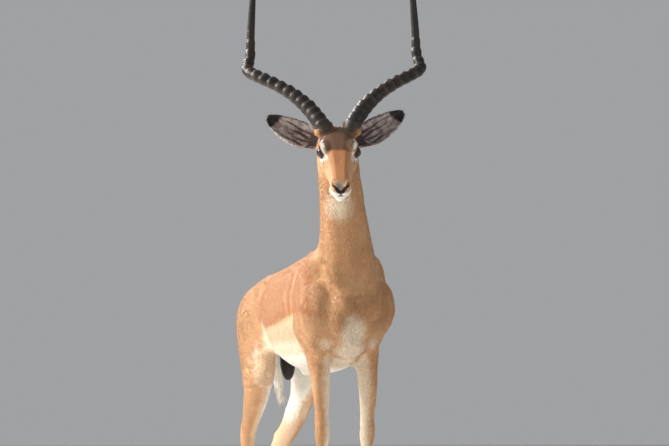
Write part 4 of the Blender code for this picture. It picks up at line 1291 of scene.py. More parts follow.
def eyeball_mesh(sign):
    """An eyeball with its cornea, and how far each point lies from the pupil's middle."""
    bm = bmesh.new()
    bmesh.ops.create_uvsphere(bm, u_segments=64, v_segments=40, radius=1.0)
    turn = Vector(eye_frame(sign)[0]).to_track_quat("Z", "X").to_matrix().to_4x4()
    bmesh.ops.transform(bm, matrix=turn, verts=bm.verts[:])
    mesh = made_mesh("eyeball", bm, outwards=False)
    ways, _ = arrays(mesh)
    look = ways @ eye_frame(sign).T
    iris = math.sin(math.radians(48))
    front = look[:, 0] > 0
    put_attribute(mesh, "pupil_across", np.where(front, look[:, 1] / iris, 2.0))
    put_attribute(mesh, "pupil_rise", np.where(front, look[:, 2] / iris, 2.0))
    cornea = 0.0005 * np.exp(-(np.arccos(np.clip(look[:, 0], -1, 1)) / math.radians(36)) ** 4)
    put_places(mesh, np.array(eye_place(sign)) + ways * (EYE_RADIUS - 0.0004 + cornea)[:, None])
    return mesh


def lid_mesh(sign):
    """A dark moist rim round the eye's opening."""
    rows = []
    steps = 72
    for k in range(steps):
        turn = math.tau * k / steps
        share = math.cos(turn)
        upper = math.sin(turn) >= 0
        height = float(lid_height(np.array(share), upper))
        swing = share * LID_HALF_ANGLE
        look, fore, up = (Vector(row) for row in eye_frame(sign))
        way = (look * math.cos(swing) * math.cos(height) + fore * math.sin(swing) * math.cos(height)
               + up * math.sin(height)).normalized()
        rows.append(way)
    centre = eye_place(sign)
    rings = []
    for k, way in enumerate(rows):
        along = (rows[(k + 1) % steps] - rows[k - 1]).normalized()
        outward = way.cross(along).normalized()
        core = centre + way * (EYE_RADIUS + 0.0004)
        rings.append([core + way * math.cos(a) * LID_THICKNESS + outward * math.sin(a) * LID_HALF_WIDTH
                      for a in (math.tau * j / 12 for j in range(12))])
    bm = bmesh.new()
    for k in range(LASHES):
        share = -0.85 + 1.75 * k / (LASHES - 1)
        height, swing = float(lid_height(np.array(share), True)), share * LID_HALF_ANGLE
        way = (look * math.cos(swing) + fore * math.sin(swing)) * math.cos(height) + up * math.sin(height)
        root, along = centre + way * EYE_RADIUS, (way + up * 0.55 - ALONG * 0.15).normalized()
        across = along.cross(up).normalized() * LASH_HALF_WIDTH
        crest = along.cross(across).normalized() * LASH_HALF_WIDTH
        tip = root + along * (LASH_LENGTH - 0.004 * share * share) + up * 0.001
        corners = [bm.verts.new(p) for p in (root + across, root - across, root + crest, tip)]
        for a, b, c in ((0, 1, 2), (0, 3, 1), (1, 3, 2), (2, 3, 0)):
            bm.faces.new((corners[a], corners[b], corners[c]))
    layers = [[bm.verts.new(p) for p in points] for points in rings]
    for low, high in zip(layers, layers[1:] + layers[:1]):
        for j in range(12):
            bm.faces.new((low[j], low[(j + 1) % 12], high[(j + 1) % 12], high[j]))
    return made_mesh("lid", bm)


# ---- places on the animal
FLESH = [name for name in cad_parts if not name.startswith(("hoof_", "horn_", "eye_"))]
SKULL_AXES = np.array((ALONG, SIDE, UP))


def skull_coordinates(points):
    """Points as distances along, beside and above the skull's axis."""
    return ((points - np.array(SKULL)) @ SKULL_AXES.T).T


def neck_share(points):
    """How much a point belongs to the neck or head rather than to the trunk."""
    _, y, z = points.T
    front = np.interp(z, (0.7, 0.8, 0.87, 0.95), (-0.3, -0.075, 0.01, 0.3))
    return ramp(front - y, -0.03, 0.03) * ramp(z, 0.68, 0.78)


def leg_share(points):
    """1 on the free part of the legs, 0 on the trunk."""
    _, y, z = points.T
    fore = ramp(-z, -0.53, -0.47) * (y < 0.25)
    hind = ramp(-z, -0.5, -0.42) * (y >= 0.25)
    return fore + hind


def blob(points, centre, radii):
    """About how far a point lies inside a rounded patch, in metres; below 0 is outside."""
    return (1 - lengths((points - np.array(centre)) / np.array(radii))) * min(radii)


def stripe(points, path, width):
    """About how far a point lies inside a stripe along a path."""
    return width - path_distance(points, path)


def either(*marks):
    """Where any of the marks is."""
    return np.maximum.reduce(marks)


def both(*marks):
    """Where all of the marks are."""
    return np.minimum.reduce(marks)


def body_marks(points, normals):
    """How far each point lies inside each mark of the coat, in metres; below 0 is outside."""
    x, y, z = points.T
    along, side, up = skull_coordinates(points)
    beside_face = np.abs(side)
    outside = np.sign(x) * normals[:, 0]
    near_skull = stripe(points, on_face(1, (0.0, 0, 0), (0.27, 0, 0)), 0.1)

    def blobs(*rows):
        return either(*(blob(points, centre, radii) for centre, radii in rows))

    def lines(sign, *rows):
        return [stripe(points, on_face(sign, *path), width) for path, width in rows]

    saddle_edge = np.interp(y, (-0.05, 0.07, 0.235, 0.33, 0.4, 0.44),
                            (0.66, 0.667, 0.636, 0.628, 0.6, 0.56))
    saddle = both(z - saddle_edge, 0.42 - y, y + 0.02 + 0.5 * (0.8 - z))
    flank = both(saddle_edge - z, y - 0.09, (0.46 - y) * 0.4, (z - 0.45) * 0.2)
    inner_leg = both(-(outside + 0.05) * 0.03, 0.56 - z, z - 0.12)
    shins = blobs(((-0.088, 0.58, 0.425), (0.06, 0.06, 0.055)),
                  ((0.092, 0.65, 0.41), (0.06, 0.07, 0.055)))
    shins = both(shins, (-normals[:, 1] - 0.15) * 0.04, (0.55 - outside) * 0.04)
    fawn = either(flank, inner_leg, shins)

    not_thigh = (normals[:, 1] + 0.45) * 0.05
    belly = both(0.545 - z, y - 0.05 - 0.5 * np.maximum(np.abs(x) - 0.045, 0.0), 0.53 - y, z - 0.46,
                 0.11 - np.abs(x), (-normals[:, 2] - 0.12) * 0.05, either(not_thigh, 0.4 - y))
    breast_arms_and_fold = blobs(
        ((-0.012, -0.12, 0.604), (0.034, 0.06, 0.05)),
        ((-0.004, -0.08, 0.552), (0.042, 0.07, 0.032)),
        ((0.0, 0.02, 0.53), (0.04, 0.07, 0.04)),
        ((-0.076, -0.08, 0.568), (0.02, 0.05, 0.018)),
        ((0.078, -0.08, 0.572), (0.02, 0.05, 0.018)),
        ((-0.1, 0.385, 0.6), (0.05, 0.045, 0.055)),
        ((0.1, 0.385, 0.6), (0.05, 0.045, 0.055)))
    throat = 0.55 * blob(points, (-0.062, -0.13, 0.975), (0.05, 0.064, 0.056)) - 0.01
    low_flank = both(0.585 - z, y - 0.1, 0.45 - y, z - 0.46, either(not_thigh, 0.36 - y))
    inner_arm = both(-(outside + 0.3) * 0.025, 0.54 - z, z - 0.17, 0.25 - y)
    cream = either(breast_arms_and_fold, throat, low_flank, inner_arm)
    rump = either(both(y - 0.655, 0.058 - np.abs(x), z - 0.48, 0.775 - z),
                  both(y - 0.56, 0.05 - np.abs(x), z - 0.42, 0.64 - z))
    tail = 0.03 - tail_distance(points, 1)
    inner_thigh = both(-(outside + 0.5) * 0.03, 0.6 - z, y - 0.48, (z - 0.36) * 0.15)
    chin = both(along - 0.15, -0.046 - up)
    lips = both(along - 0.212, -0.01 - up)
    round_eyes = [mark for sign in SIDES.values() for mark in lines(
        sign,
        (((0.066, 0.051, 0.04), (0.09, 0.051, 0.047), (0.113, 0.047, 0.041), (0.13, 0.04, 0.026),
          (0.14, 0.036, 0.021)), 0.0044),
        (((0.118, 0.053, 0.006), (0.134, 0.045, 0.01)), 0.0066),
        (((0.082, 0.056, 0.0), (0.104, 0.055, -0.002)), 0.004))]
    white = either(belly, rump, tail, inner_thigh, both(either(chin, lips), near_skull), *round_eyes)

    black = [stripe(points, [(s * 0.058, 0.655, 0.76), (s * 0.07, 0.68, 0.69), (s * 0.07, 0.672, 0.6),
                             (s * 0.066, 0.655, 0.545)], 0.0085) for s in (-1, 1)]
    tail_top = [(left, back + 0.02, high) for left, back, high, _ in TAIL[1:6]]
    black.append(both(stripe(points, tail_top, 0.0115), y - 0.7))
    for leg in HIND_PATH.values():
        upper, lower = fetlock_tuft(leg, 0.016)
        black.append(stripe(points, [upper.lerp(lower, -0.1), lower], 0.017))
    ear_dark, ear_pale, streaks = (np.full(len(points), -0.05) for _ in range(3))
    horn_feet = np.minimum(*(horn_foot_distance(points, sign, 4) for sign in SIDES.values()))
    for ear_side in SIDES:
        lengthwise, across = ear_coordinates(points, ear_side)
        on_ear = (lengthwise > 0.08) & (np.abs(across) < 1.4) & (horn_feet > 0.034)
        leaf_back = normals @ np.array(ear_axes(ear_side)[2])
        tip = (lengthwise - 0.84 + 0.05 * across) * EAR_LENGTH
        rim = both((across - 0.93) * 0.03, (lengthwise - 0.35) * 0.1)
        fringe = both((-0.8 - across) * 0.03, (lengthwise - 0.14) * 0.1, (0.8 - lengthwise) * 0.1)
        white = np.where(on_ear, fringe, white)
        ear_dark = np.where(on_ear, either(tip, rim), ear_dark)
        inside = both(-leaf_back * 0.04 + 0.004, (lengthwise - 0.12) * 0.1, horn_feet - 0.038)
        ear_pale = np.where(on_ear, inside, ear_pale)
        # first a painted shade: dark deep in the ear's hollow near its root; then the dark streaks
        found = [both((0.27 - lengthwise) * 0.15, inside, (0.75 - across) * 0.03)]
        for start, end, low, high, broad in EAR_STREAKS:
            middle_line = np.interp(lengthwise, (start, end), (low, high))
            middle_line = middle_line + 0.05 * np.sin(17 * lengthwise + 9 * low)
            stations = (start, start + 0.12, end - 0.25, end)
            width = broad * np.interp(lengthwise, stations, (0.8, 1.0, 0.7, 0.1))
            line = (width - np.abs(across - middle_line)) * 0.03
            found.append(both(line, (lengthwise - start) * 0.1, (end - lengthwise) * 0.1, inside))
        streaks = np.where(on_ear, either(*found), streaks)

    # the dark forehead; its colour also carries painted shade
    cap = both(0.124 - along, up - 0.01, along + 0.03, 0.054 - beside_face)
    blaze = both(along - 0.11, 0.246 - along, 0.024 - beside_face, up - 0.004)
    bare = [blob(points, SCROTUM[0], tuple(r * 1.25 for r in SCROTUM[1])),
            *lines(1, (((0.274, 0, -0.004), (0.272, 0, -0.02)), 0.003))]
    for sign in SIDES.values():
        eye_distance = lengths(points - np.array(eye_place(sign)))
        bare.append(both(EYE_RADIUS + 0.003 - eye_distance, normals @ eye_frame(sign)[0] * 0.01 + 0.002))
        bare += lines(
            sign, (NOSTRIL[:3], 0.0042), (NOSTRIL[1:], 0.0062), (MOUTH[:3], 0.0028),
            (((0.271, 0.006, -0.004), (0.274, 0.0, -0.008)), 0.0052),
            (((0.119, 0.05, 0.014), (0.13, 0.046, 0.007), (0.136, 0.044, 0.003)), 0.0026))
    nose = stripe(points, on_face(1, (0.254, 0, 0.016), (0.272, 0, 0.0)), 0.0125)
    return {"white": white, "cream": cream, "saddle": saddle, "fawn": fawn, "black": either(*black, ear_dark),
            "cap": cap, "blaze": blaze, "bare": either(*bare), "nose": nose, "ear_pale": ear_pale,
            "ear_streak_and_shade": streaks}


def lie_of_coat(points, normals):
    """The way the hairs point: back from the nose, down the neck and legs, back along the trunk."""
    x, y, z = points.T
    outer = np.sign(x)

    def laid(start, end, share):
        return blend(start, np.array(end), share[:, None])

    lie = np.stack((outer * 0.05, np.full_like(z, 0.86), np.full_like(z, -0.5)), 1)
    lie = laid(lie, (0.0, 0.42, -0.9), ramp(y, 0.42, 0.56))
    breast = np.stack((0.18 * outer, np.full_like(z, 0.1), np.full_like(z, -0.95)), 1)
    lie = laid(lie, breast, ramp(-y, 0.0, 0.08))
    lie = laid(lie, (0.0, 1.0, -0.15), ramp(-normals[:, 2], 0.3, 0.8))
    lie = laid(lie, (0.05, 0.12, -1.0), neck_share(points))
    lie = laid(lie, (0.0, 0.14, -1.0), leg_share(points))
    side = skull_coordinates(points)[1]
    back = -np.array(ALONG) * 0.95 + np.array(SIDE) * (np.sign(side) * 0.22)[:, None]
    lie = laid(lie, back, ramp(above_head_cut(points), -0.02, 0.03))
    for ear_side in SIDES:
        _, axis, _, upper = (np.array(v) for v in ear_axes(ear_side))
        lengthwise, across = ear_coordinates(points, ear_side)
        on_ear = ramp(lengthwise, 0.04, 0.16) * (np.abs(across) < 1.5)
        lie = laid(lie, axis + upper * (0.35 * across)[:, None], on_ear)
    for sign in SIDES.values():
        foot, tip = (np.array(crown_point(sign * out, back, up)) for out, back, up, _ in HORN_LINE[:2])
        near = ramp(-lengths(points - (foot + tip) / 2), -0.044, -0.034)
        lie = laid(lie, (tip - foot) / np.linalg.norm(tip - foot), near)
    lie = laid(lie, (0.05, 0.1, -1.0), ramp(-tail_distance(points, 1), -0.035, -0.024))
    return lie / lengths(lie)[:, None]


def coat_sizes(points, normals, bare):
    """Length, width and closeness of the tufts at each point."""
    _, y, z = points.T
    along, _, up = skull_coordinates(points)
    on_head = ramp(above_head_cut(points), -0.02, 0.04)
    legs = leg_share(points)

    def towards(start, end, share):
        return start + (end - start) * share

    reach = towards(0.0125, 0.01, neck_share(points))
    reach = towards(reach, 0.007, legs)
    reach = reach + 0.002 * (ramp(-y, 0.04, 0.1) * ramp(0.7 - z, 0.0, 0.08) * (1 - legs))
    under = ramp(-normals[:, 2], 0.45, 0.85) * (z < 0.6) * (z > 0.47) * (y > -0.05) * (y < 0.5)
    reach = towards(reach, 0.022, under)
    reach = towards(reach, 0.02, ramp(y, 0.62, 0.68) * (z > 0.5))
    reach = towards(reach, 0.0062 - 0.0022 * ramp(along, 0.12, 0.24), on_head)
    reach = reach + 0.006 * (on_head * ramp(-up, 0.045, 0.065) * ramp(0.22 - along, 0.0, 0.05))
    reach = reach + 0.004 * ramp(-z, -0.18, -0.12) * legs
    for leg in HIND_PATH.values():
        reach = reach + 0.018 * ramp(-path_distance(points, fetlock_tuft(leg, 0.018)), -0.026, -0.012)
    on_tail = ramp(-tail_distance(points, 2), -0.02, -0.014)
    reach = towards(reach, 0.03 + 0.03 * ramp(0.66 - z, 0.0, 0.16), on_tail)
    broad = np.where(on_head > 0.5, 0.0005 + 0.085 * reach, 0.0008 + 0.07 * reach)
    for sign in SIDES.values():
        reach = towards(reach, 0.011, ramp(-horn_foot_distance(points, sign, 3), -0.04, -0.029) * on_head)
    for ear_side in SIDES:
        lengthwise, across = ear_coordinates(points, ear_side)
        on_ear = (lengthwise > 0.1) & (np.abs(across) < 1.5) & (lengthwise < 1.1)
        inner = normals @ np.array(ear_axes(ear_side)[2]) < 0.1
        fringe = ramp(np.abs(across), 0.72, 0.95)
        lower = ramp(-across, 0.55, 0.95)
        ear_reach = 0.0048 + 0.0045 * fringe + 0.005 * lower * ramp(0.85 - lengthwise, 0.0, 0.2)
        ear_reach = np.where(inner & (np.abs(across) < 0.8), 0.01, ear_reach)
        reach = np.where(on_ear, ear_reach, reach)
        broad = np.where(on_ear, 0.0009, broad)
    close = np.where(bare > -0.0006, 0.0, 1.0 + 0.35 * on_head)
    return reach, broad, close


def mark_skin(mesh):
    """Store the coat's lie, sizes and marks on every point of a skin in the animal's own frame."""
    points, normals = arrays(mesh)
    marks = body_marks(points, normals)
    for name, values in marks.items():
        put_attribute(mesh, name, np.clip(values, -0.05, 0.05))
    put_attribute(mesh, "lie", lie_of_coat(points, normals), "FLOAT_VECTOR")
    for name, values in zip(("reach", "broad", "close"), coat_sizes(points, normals, marks["bare"])):
        put_attribute(mesh, name, values)


# ---- colours of the coat
SADDLE_BAND_COLOUR = (0.46, 0.175, 0.06)
BLAZE_COLOUR = (0.5, 0.185, 0.06)
NOSE_COLOUR = (0.3, 0.235, 0.2)
INNER_EAR_COLOURS = ((0.33, 0.24, 0.22), (0.56, 0.5, 0.48))
# the ears' dark streaks, also used as painted shade deep in each ear's root
EAR_STREAK_AND_SHADE_COLOUR = (0.05, 0.027, 0.022)
BARE_COLOUR = (0.022, 0.018, 0.017)


def coat_colour(tree, settings, place, ragged):
    """The coat's colour from its marks, with edges as ragged as the hair."""
    patchy = tree.noise(place, 9.0, 3.0, 0.55)
    speckle = tree.noise(place, 150.0, 2.0, 0.6)

    def inside(name, blur, rough=1.0):
        """1 inside the mark of that name, 0 outside, its edge shifted by the ragged hair."""
        value = tree.plus(tree.attribute(name), tree.times(ragged, rough))
        return tree.step(value, -blur, blur)

    def painted(colour, name, blur, rough, strength, paint):
        """Paint over the colour where the mark of that name is."""
        share = inside(name, blur, rough)
        if strength < 1:
            share = tree.times(share, strength)
        return tree.mix(share, colour, paint)

    colour = tree.mix(tree.step(patchy, 0.36, 0.66), tuple(settings.tan), tuple(settings.tan_light))
    colour = painted(colour, "saddle", 0.012, 1.0, 0.8, tuple(settings.saddle))
    band = tree.minus(inside("saddle", 0.008), tree.step(tree.attribute("saddle"), 0.014, 0.042))
    colour = tree.mix(tree.times(band, 0.55, clamp=True), colour, SADDLE_BAND_COLOUR)
    colour = painted(colour, "fawn", 0.01, 1.0, 0.85, tuple(settings.fawn))
    colour = painted(colour, "blaze", 0.006, 1.0, 0.65, BLAZE_COLOUR)
    # the dark forehead, painted darker than its own brown as painted shade
    colour = painted(colour, "cap", 0.007, 1.0, 0.92, tuple(settings.cap))
    colour = painted(colour, "cream", 0.013, 1.0, 0.85, tuple(settings.cream))
    colour = painted(colour, "white", 0.004, 1.0, 1.0, tuple(settings.white))
    colour = painted(colour, "nose", 0.003, 0.4, 0.75, NOSE_COLOUR)
    blotches = tree.step(tree.noise(place, 70.0, 3.0, 0.6), 0.4, 0.62)
    inner_ear = tree.mix(blotches, *INNER_EAR_COLOURS)
    colour = painted(colour, "ear_pale", 0.004, 0.5, 1.0, inner_ear)
    # dark streaks inside the ears, and painted shade in the hollow of each ear's root
    colour = painted(colour, "ear_streak_and_shade", 0.0016, 0.35, 0.9, EAR_STREAK_AND_SHADE_COLOUR)
    colour = painted(colour, "black", 0.0022, 0.6, 1.0, tuple(settings.black))
    colour = painted(colour, "bare", 0.0012, 0.15, 1.0, BARE_COLOUR)
    return tree.vector("SCALE", colour, scale=tree.plus(0.86, tree.times(speckle, 0.28)))


def skin_material(settings):
    """Short sleek hair on the skin: marks, and a bump drawn out along the lie of the coat."""
    material, tree = new_material("Coat Skin")
    place = tree.coordinates()
    lie = tree.attribute("lie", "Vector")
    squared = tree.add("ShaderNodeSeparateXYZ", {"Vector": tree.vector("MULTIPLY", lie, lie)})
    strands = 0.0
    for axis in range(3):
        scale = tuple(60.0 if k == axis else 520.0 for k in range(3))
        strand = tree.noise(tree.vector("MULTIPLY", place, scale), 1.0, 2.0, 0.55)
        strands = tree.plus(strands, tree.times(strand, squared.outputs[axis]))
    clumps = tree.noise(place, 60.0, 2.0, 0.5)
    ragged = tree.times(tree.minus(tree.plus(strands, clumps), 1.0), 0.014)
    colour = coat_colour(tree, settings, place, ragged)
    height = tree.plus(strands, tree.times(clumps, 0.3))
    tree.surface(colour, 0.58, 0.35, {"Sheen Weight": 0.12, "Sheen Roughness": 0.4,
                                      "Normal": tree.bump(height, 0.0011, 0.75)})
    return material


def tuft_material(settings):
    """The same marks for the tufts, each a little lighter or darker than its neighbours."""
    material, tree = new_material("Coat Tufts")
    place = tree.coordinates()
    shade = tree.attribute("shade")
    height = tree.attribute("up_blade")
    clumps = tree.noise(place, 60.0, 2.0, 0.5)
    ragged = tree.times(tree.minus(tree.plus(shade, clumps), 1.0), 0.009)
    colour = coat_colour(tree, settings, place, ragged)
    lightness = tree.plus(tree.times(shade, 0.14), tree.plus(0.86, tree.times(height, 0.14)))
    colour = tree.vector("SCALE", colour, scale=lightness)
    tree.surface(colour, 0.6, 0.3, {"Sheen Weight": 0.1, "Sheen Roughness": 0.4})
    return material


# ---- tufts
def tuft_blade():
    """One tuft as a closed solid lying along +Y from its root: ten triangles."""
    sections = ((0.0, 0.5, 0.3, -0.25), (0.42, 0.42, 0.85, 0.1))
    points = [p for along, half, crest, foot in sections
              for p in ((-half, along, foot), (half, along, foot), (0.0, along, crest))]
    points.append((0.0, 1.0, 0.62))
    faces = [(0, 1, 2), (0, 3, 4), (0, 4, 1), (1, 4, 5), (1, 5, 2), (2, 5, 3), (2, 3, 0),
             (3, 6, 4), (4, 6, 5), (5, 6, 3)]
    bm = bmesh.new()
    corners = [bm.verts.new(p) for p in points]
    for face in faces:
        bm.faces.new([corners[k] for k in face])
    mesh = made_mesh("tuft", bm)
    mesh.shade_smooth()
    put_attribute(mesh, "up_blade", [p[1] for p in points])
    put_attribute(mesh, "across_blade", [p[0] + 0.5 for p in points])
    return linked("tuft", mesh)


def coat_tree():
    """Grow tufts from a skin along its lie, as long, wide and close as its points say."""
    group, tree = new_geometry_tree("Tufts of Coat", (
        ("Tuft", "Object", None),
        ("Tufts per Area", "Float", 60000.0),
        ("Thickness", "Float", 0.1),
        ("Lift", "Float", 6.0),
        ("Spread", "Float", 14.0),
        ("Patch", "Float", 0.003),
        ("Seed", "Int", 1),
        ("Material", "Material", None),
    ))
    given = tree.add("NodeGroupInput").outputs

    def random(low, high, shift):
        seed = tree.plus(given["Seed"], float(shift))
        node = tree.add("FunctionNodeRandomValue", {"Min": low, "Max": high, "Seed": seed}, data_type="FLOAT")
        return node.outputs[1]

    density = tree.times(tree.named("close"), given["Tufts per Area"])
    spread_points = tree.add("GeometryNodeDistributePointsOnFaces",
                             {"Mesh": given["Geometry"], "Density": density, "Seed": given["Seed"]},
                             distribute_method="RANDOM")
    shaded = tree.stored(spread_points.outputs["Points"], "shade", random(0.0, 1.0, 3))
    upright = tree.add("FunctionNodeAlignRotationToVector",
                       {"Vector": spread_points.outputs["Normal"]}, axis="Z")
    laid = tree.add("FunctionNodeAlignRotationToVector",
                    {"Rotation": upright.outputs[0], "Vector": tree.named("lie", "FLOAT_VECTOR")},
                    axis="Y", pivot_axis="Z")
    yaw = tree.math("RADIANS", tree.times(given["Spread"], random(-1.0, 1.0, 5)))
    lift = tree.math("RADIANS", tree.times(given["Lift"], random(0.5, 1.5, 7)))
    turn = tree.add("FunctionNodeEulerToRotation", {0: tree.combined(x=lift, z=yaw)})
    turned = tree.add("FunctionNodeRotateRotation",
                      {"Rotation": laid.outputs[0], "Rotate By": turn.outputs[0]}, rotation_space="LOCAL")
    wide = tree.times(tree.named("broad"), random(0.7, 1.3, 9))
    long = tree.times(tree.named("reach"), random(0.65, 1.15, 11))
    scale = tree.combined(wide, long, tree.times(long, given["Thickness"]))
    blade = tree.add("GeometryNodeObjectInfo", {"Object": given["Tuft"]})
    grown = tree.add("GeometryNodeInstanceOnPoints",
                     {"Points": shaded, "Instance": blade.outputs["Geometry"],
                      "Rotation": turned.outputs[0], "Scale": scale})
    real = tree.add("GeometryNodeRealizeInstances", {"Geometry": grown.outputs[0]})
    own = tree.combined(tree.named("across_blade"), tree.named("up_blade"))
    own = tree.vector("SCALE", own, scale=given["Patch"])
    spot = tree.vector("ADD", tree.named("root_place", "FLOAT_VECTOR"), own)
    unwrapped = tree.stored(real.outputs[0], "OFBake", spot, "FLOAT2", "CORNER")
    done = tree.add("GeometryNodeSetMaterial", {"Geometry": unwrapped, "Material": given["Material"]})
    tree.add("NodeGroupOutput", {"Geometry": done.outputs[0]})
    return group


def hold_within(mesh, last):
    """Lay down the hair ends that would reach behind the animal's last point."""
    places, _ = arrays(mesh)
    room = 0.01
    past = np.maximum(places[:, 1] - last + room, 0.0)
    places[:, 1] -= past - room * (1 - np.exp(-past / room))
    put_places(mesh, places)


def region_of_face(centres, normals):
    """The coat piece that each face of the skin belongs to."""
    x, y, z = centres.T
    region = np.full(len(centres), "", dtype=object)

    def claim(name, where):
        """Give the faces to a piece, or to its left and right halves where the name ends so."""
        if name.endswith("_"):
            region[where & (x > 0)] = name + "left"
            region[where & (x <= 0)] = name + "right"
        else:
            region[where] = name

    claim("barrel_", y <= 0.43)
    claim("haunch_", y > 0.43)
    claim("belly", (normals[:, 2] < -0.35) & (z < 0.6) & (y > -0.02) & (y < 0.55) & (z > 0.465))
    claim("breast", (y < 0.055) & (z > 0.5))
    claim("neck", neck_share(centres) > 0.5)
    claim("foreleg_", (z < 0.5) & (y < 0.2))
    claim("hindleg_", (z < 0.46) & (y > 0.36))
    claim("head", above_head_cut(centres) > 0)
    for ear_side in SIDES:
        lengthwise, across = ear_coordinates(centres, ear_side)
        claim("ear_" + ear_side, (lengthwise > 0.1) & (np.abs(across) < 1.6))
    claim("tail", (tail_distance(centres, 2) < 0.017) & (y > 0.7))
    claim("scrotum", blob(centres, SCROTUM[0], tuple(r * 1.1 for r in SCROTUM[1])) > 0)
    return region


def patch_of(mesh, chosen):
    """The chosen faces of the skin as a mesh of their own, with each corner's place on its unwrap."""
    bm = bmesh.new()
    bm.from_mesh(mesh)
    bm.faces.ensure_lookup_table()
    bmesh.ops.delete(bm, geom=[bm.faces[k] for k in np.nonzero(~chosen)[0]], context="FACES")
    patch = made_mesh("patch", bm, outwards=False)
    places, _ = arrays(patch)
    normals = rows_of(patch.polygons, "normal")
    axis = np.argmax(np.abs(normals), axis=1)
    corner_chart = np.repeat(axis * 2 + (normals[np.arange(len(axis)), axis] > 0), 3)
    corners = np.empty(len(patch.loops), np.int32)
    patch.loops.foreach_get("vertex_index", corners)
    flat = np.zeros((len(corners), 2))
    others = np.array(((1, 2), (0, 2), (0, 1)))
    for k in range(6):
        mine = corner_chart == k
        if mine.any():
            spot = places[corners[mine]][:, others[k // 2]]
            low, size = spot.min(0), np.ptp(spot, axis=0).max() + 1e-9
            cell = np.array((k % 3, k // 3)) / np.array((3.0, 2.0))
            flat[mine] = cell + 0.012 + (spot - low) / size * np.array((0.305, 0.47))
    layer = patch.attributes.new("root_place", "FLOAT_VECTOR", "CORNER")
    layer.data.foreach_set("vector", np.column_stack((flat, np.zeros(len(flat)))).astype(np.float32).ravel())
    return patch


# ---- stage
def stage_material(name, colour):
    material, tree = new_material(name)
    tree.surface((*colour, 1.0), 0.9, 0.2)
    return material


def aimed(name, data, place, target):
    """A lamp or camera at a place, looking at a target."""
    thing = linked(name, data)
    thing.location = place
    thing.rotation_euler = (Vector(target) - Vector(place)).to_track_quat("-Z", "Y").to_euler()
    return thing


# ---- settings
def number_property(name, description, default, low, high, **more):
    return bpy.props.FloatProperty(name=name, description=description, default=default,
                                   min=low, max=high, **more)


def length_property(name, description, default, low, high):
    return number_property(name, description, default, low, high, unit="LENGTH", precision=4)


def count_property(name, description, default, low, high):
    return bpy.props.IntProperty(name=name, description=description, default=default, min=low, max=high)


def colour_property(name, description, default):
    return bpy.props.FloatVectorProperty(name=name, description=description, default=default, size=3,
                                         min=0.0, max=1.0, subtype="COLOR")


class SkinSettings(bpy.types.PropertyGroup):
    body_voxel: length_property("Body cell", "Cells in which the body is melted", 0.0055, 0.003, 0.02)
    head_voxel: length_property("Head cell", "Cells in which the head is melted", 0.0018, 0.001, 0.01)
    body_triangles: count_property("Body triangles", "Triangles of the body's skin", 112000, 5000, 150000)
    head_triangles: count_property("Head triangles", "Triangles of the head's skin", 80000, 5000, 90000)


class CoatSettings(bpy.types.PropertyGroup):
    tufts_per_area: number_property("Tufts per square metre", "Tufts on each square metre of the trunk",
                                    88000.0, 100.0, 200000.0)
    thickness: number_property("Thickness", "A tuft's depth as a share of its length", 0.024, 0.01, 0.5)
    lift: number_property("Lift", "Degrees that a tuft stands off the skin", 2.3, 0.0, 60.0)
    spread: number_property("Spread", "Degrees that a tuft may lean to either side", 9.0, 0.0, 90.0)
    seed: count_property("Seed", "Start of the tufts' random draws", 7, 0, 9999)
    tan: colour_property("Tan", "Darker tone of the reddish fawn coat", (0.51, 0.265, 0.12))
    tan_light: colour_property("Light tan", "Lighter tone of the reddish fawn coat", (0.59, 0.325, 0.16))
    saddle: colour_property("Saddle", "Colour of the back above the flank", (0.49, 0.225, 0.1))
    fawn: colour_property("Fawn", "Colour of the pale flanks and shanks", (0.76, 0.55, 0.36))
    white: colour_property("White", "Colour of the belly, rump and chin", (0.86, 0.82, 0.74))
    cream: colour_property("Cream", "Colour of the breast, throat and low flanks", (0.84, 0.72, 0.56))
    # the forehead's own dark brown, darkened further with painted shade
    cap: colour_property("Cap", "Colour of the dark forehead", (0.112, 0.053, 0.029))
    black: colour_property("Black", "Colour of the stripes, tufts and ear tips", (0.014, 0.012, 0.011))


class HornSettings(bpy.types.PropertyGroup):
    sides: count_property("Sides", "Points round a horn", 40, 8, 96)
    steps: count_property("Steps", "Rings along a horn", 420, 60, 900)
    horn_dark: colour_property("Dark horn", "Colour of most of the horn", (0.011, 0.009, 0.008))
    horn_light: colour_property("Light horn", "Colour of the horn's worn grain", (0.032, 0.023, 0.017))


class HoofSettings(bpy.types.PropertyGroup):
    hoof_dark: colour_property("Dark hoof", "Colour of the hoof's dark bands", (0.022, 0.018, 0.016))
    hoof_light: colour_property("Light hoof", "Colour of the hoof's pale bands", (0.06, 0.048, 0.039))


class StageSettings(bpy.types.PropertyGroup):
    floor_colour: colour_property("Floor", "Colour of the plain floor", (0.8, 0.79, 0.77))
    camera_distance: length_property("Camera distance", "How far off the camera stands", 10.0, 2.0, 40.0)


# ---- operators
class ImpalaPiece:
    """What every operator here shares."""
    bl_options = {"REGISTER", "UNDO"}


class IMPALA_OT_skin(ImpalaPiece, bpy.types.Operator):
    """Melt and sculpt the one skin that covers the whole body"""
    bl_idname = "impala.skin"
    bl_label = "Skin"

    def execute(self, context):
        mesh = skin_mesh(context.scene.impala_skin)
        mark_skin(mesh)
        skin = placed("skin", mesh, skin_material(context.scene.impala_coat))
        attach(skin, "root")
        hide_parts(*FLESH)
        return {"FINISHED"}


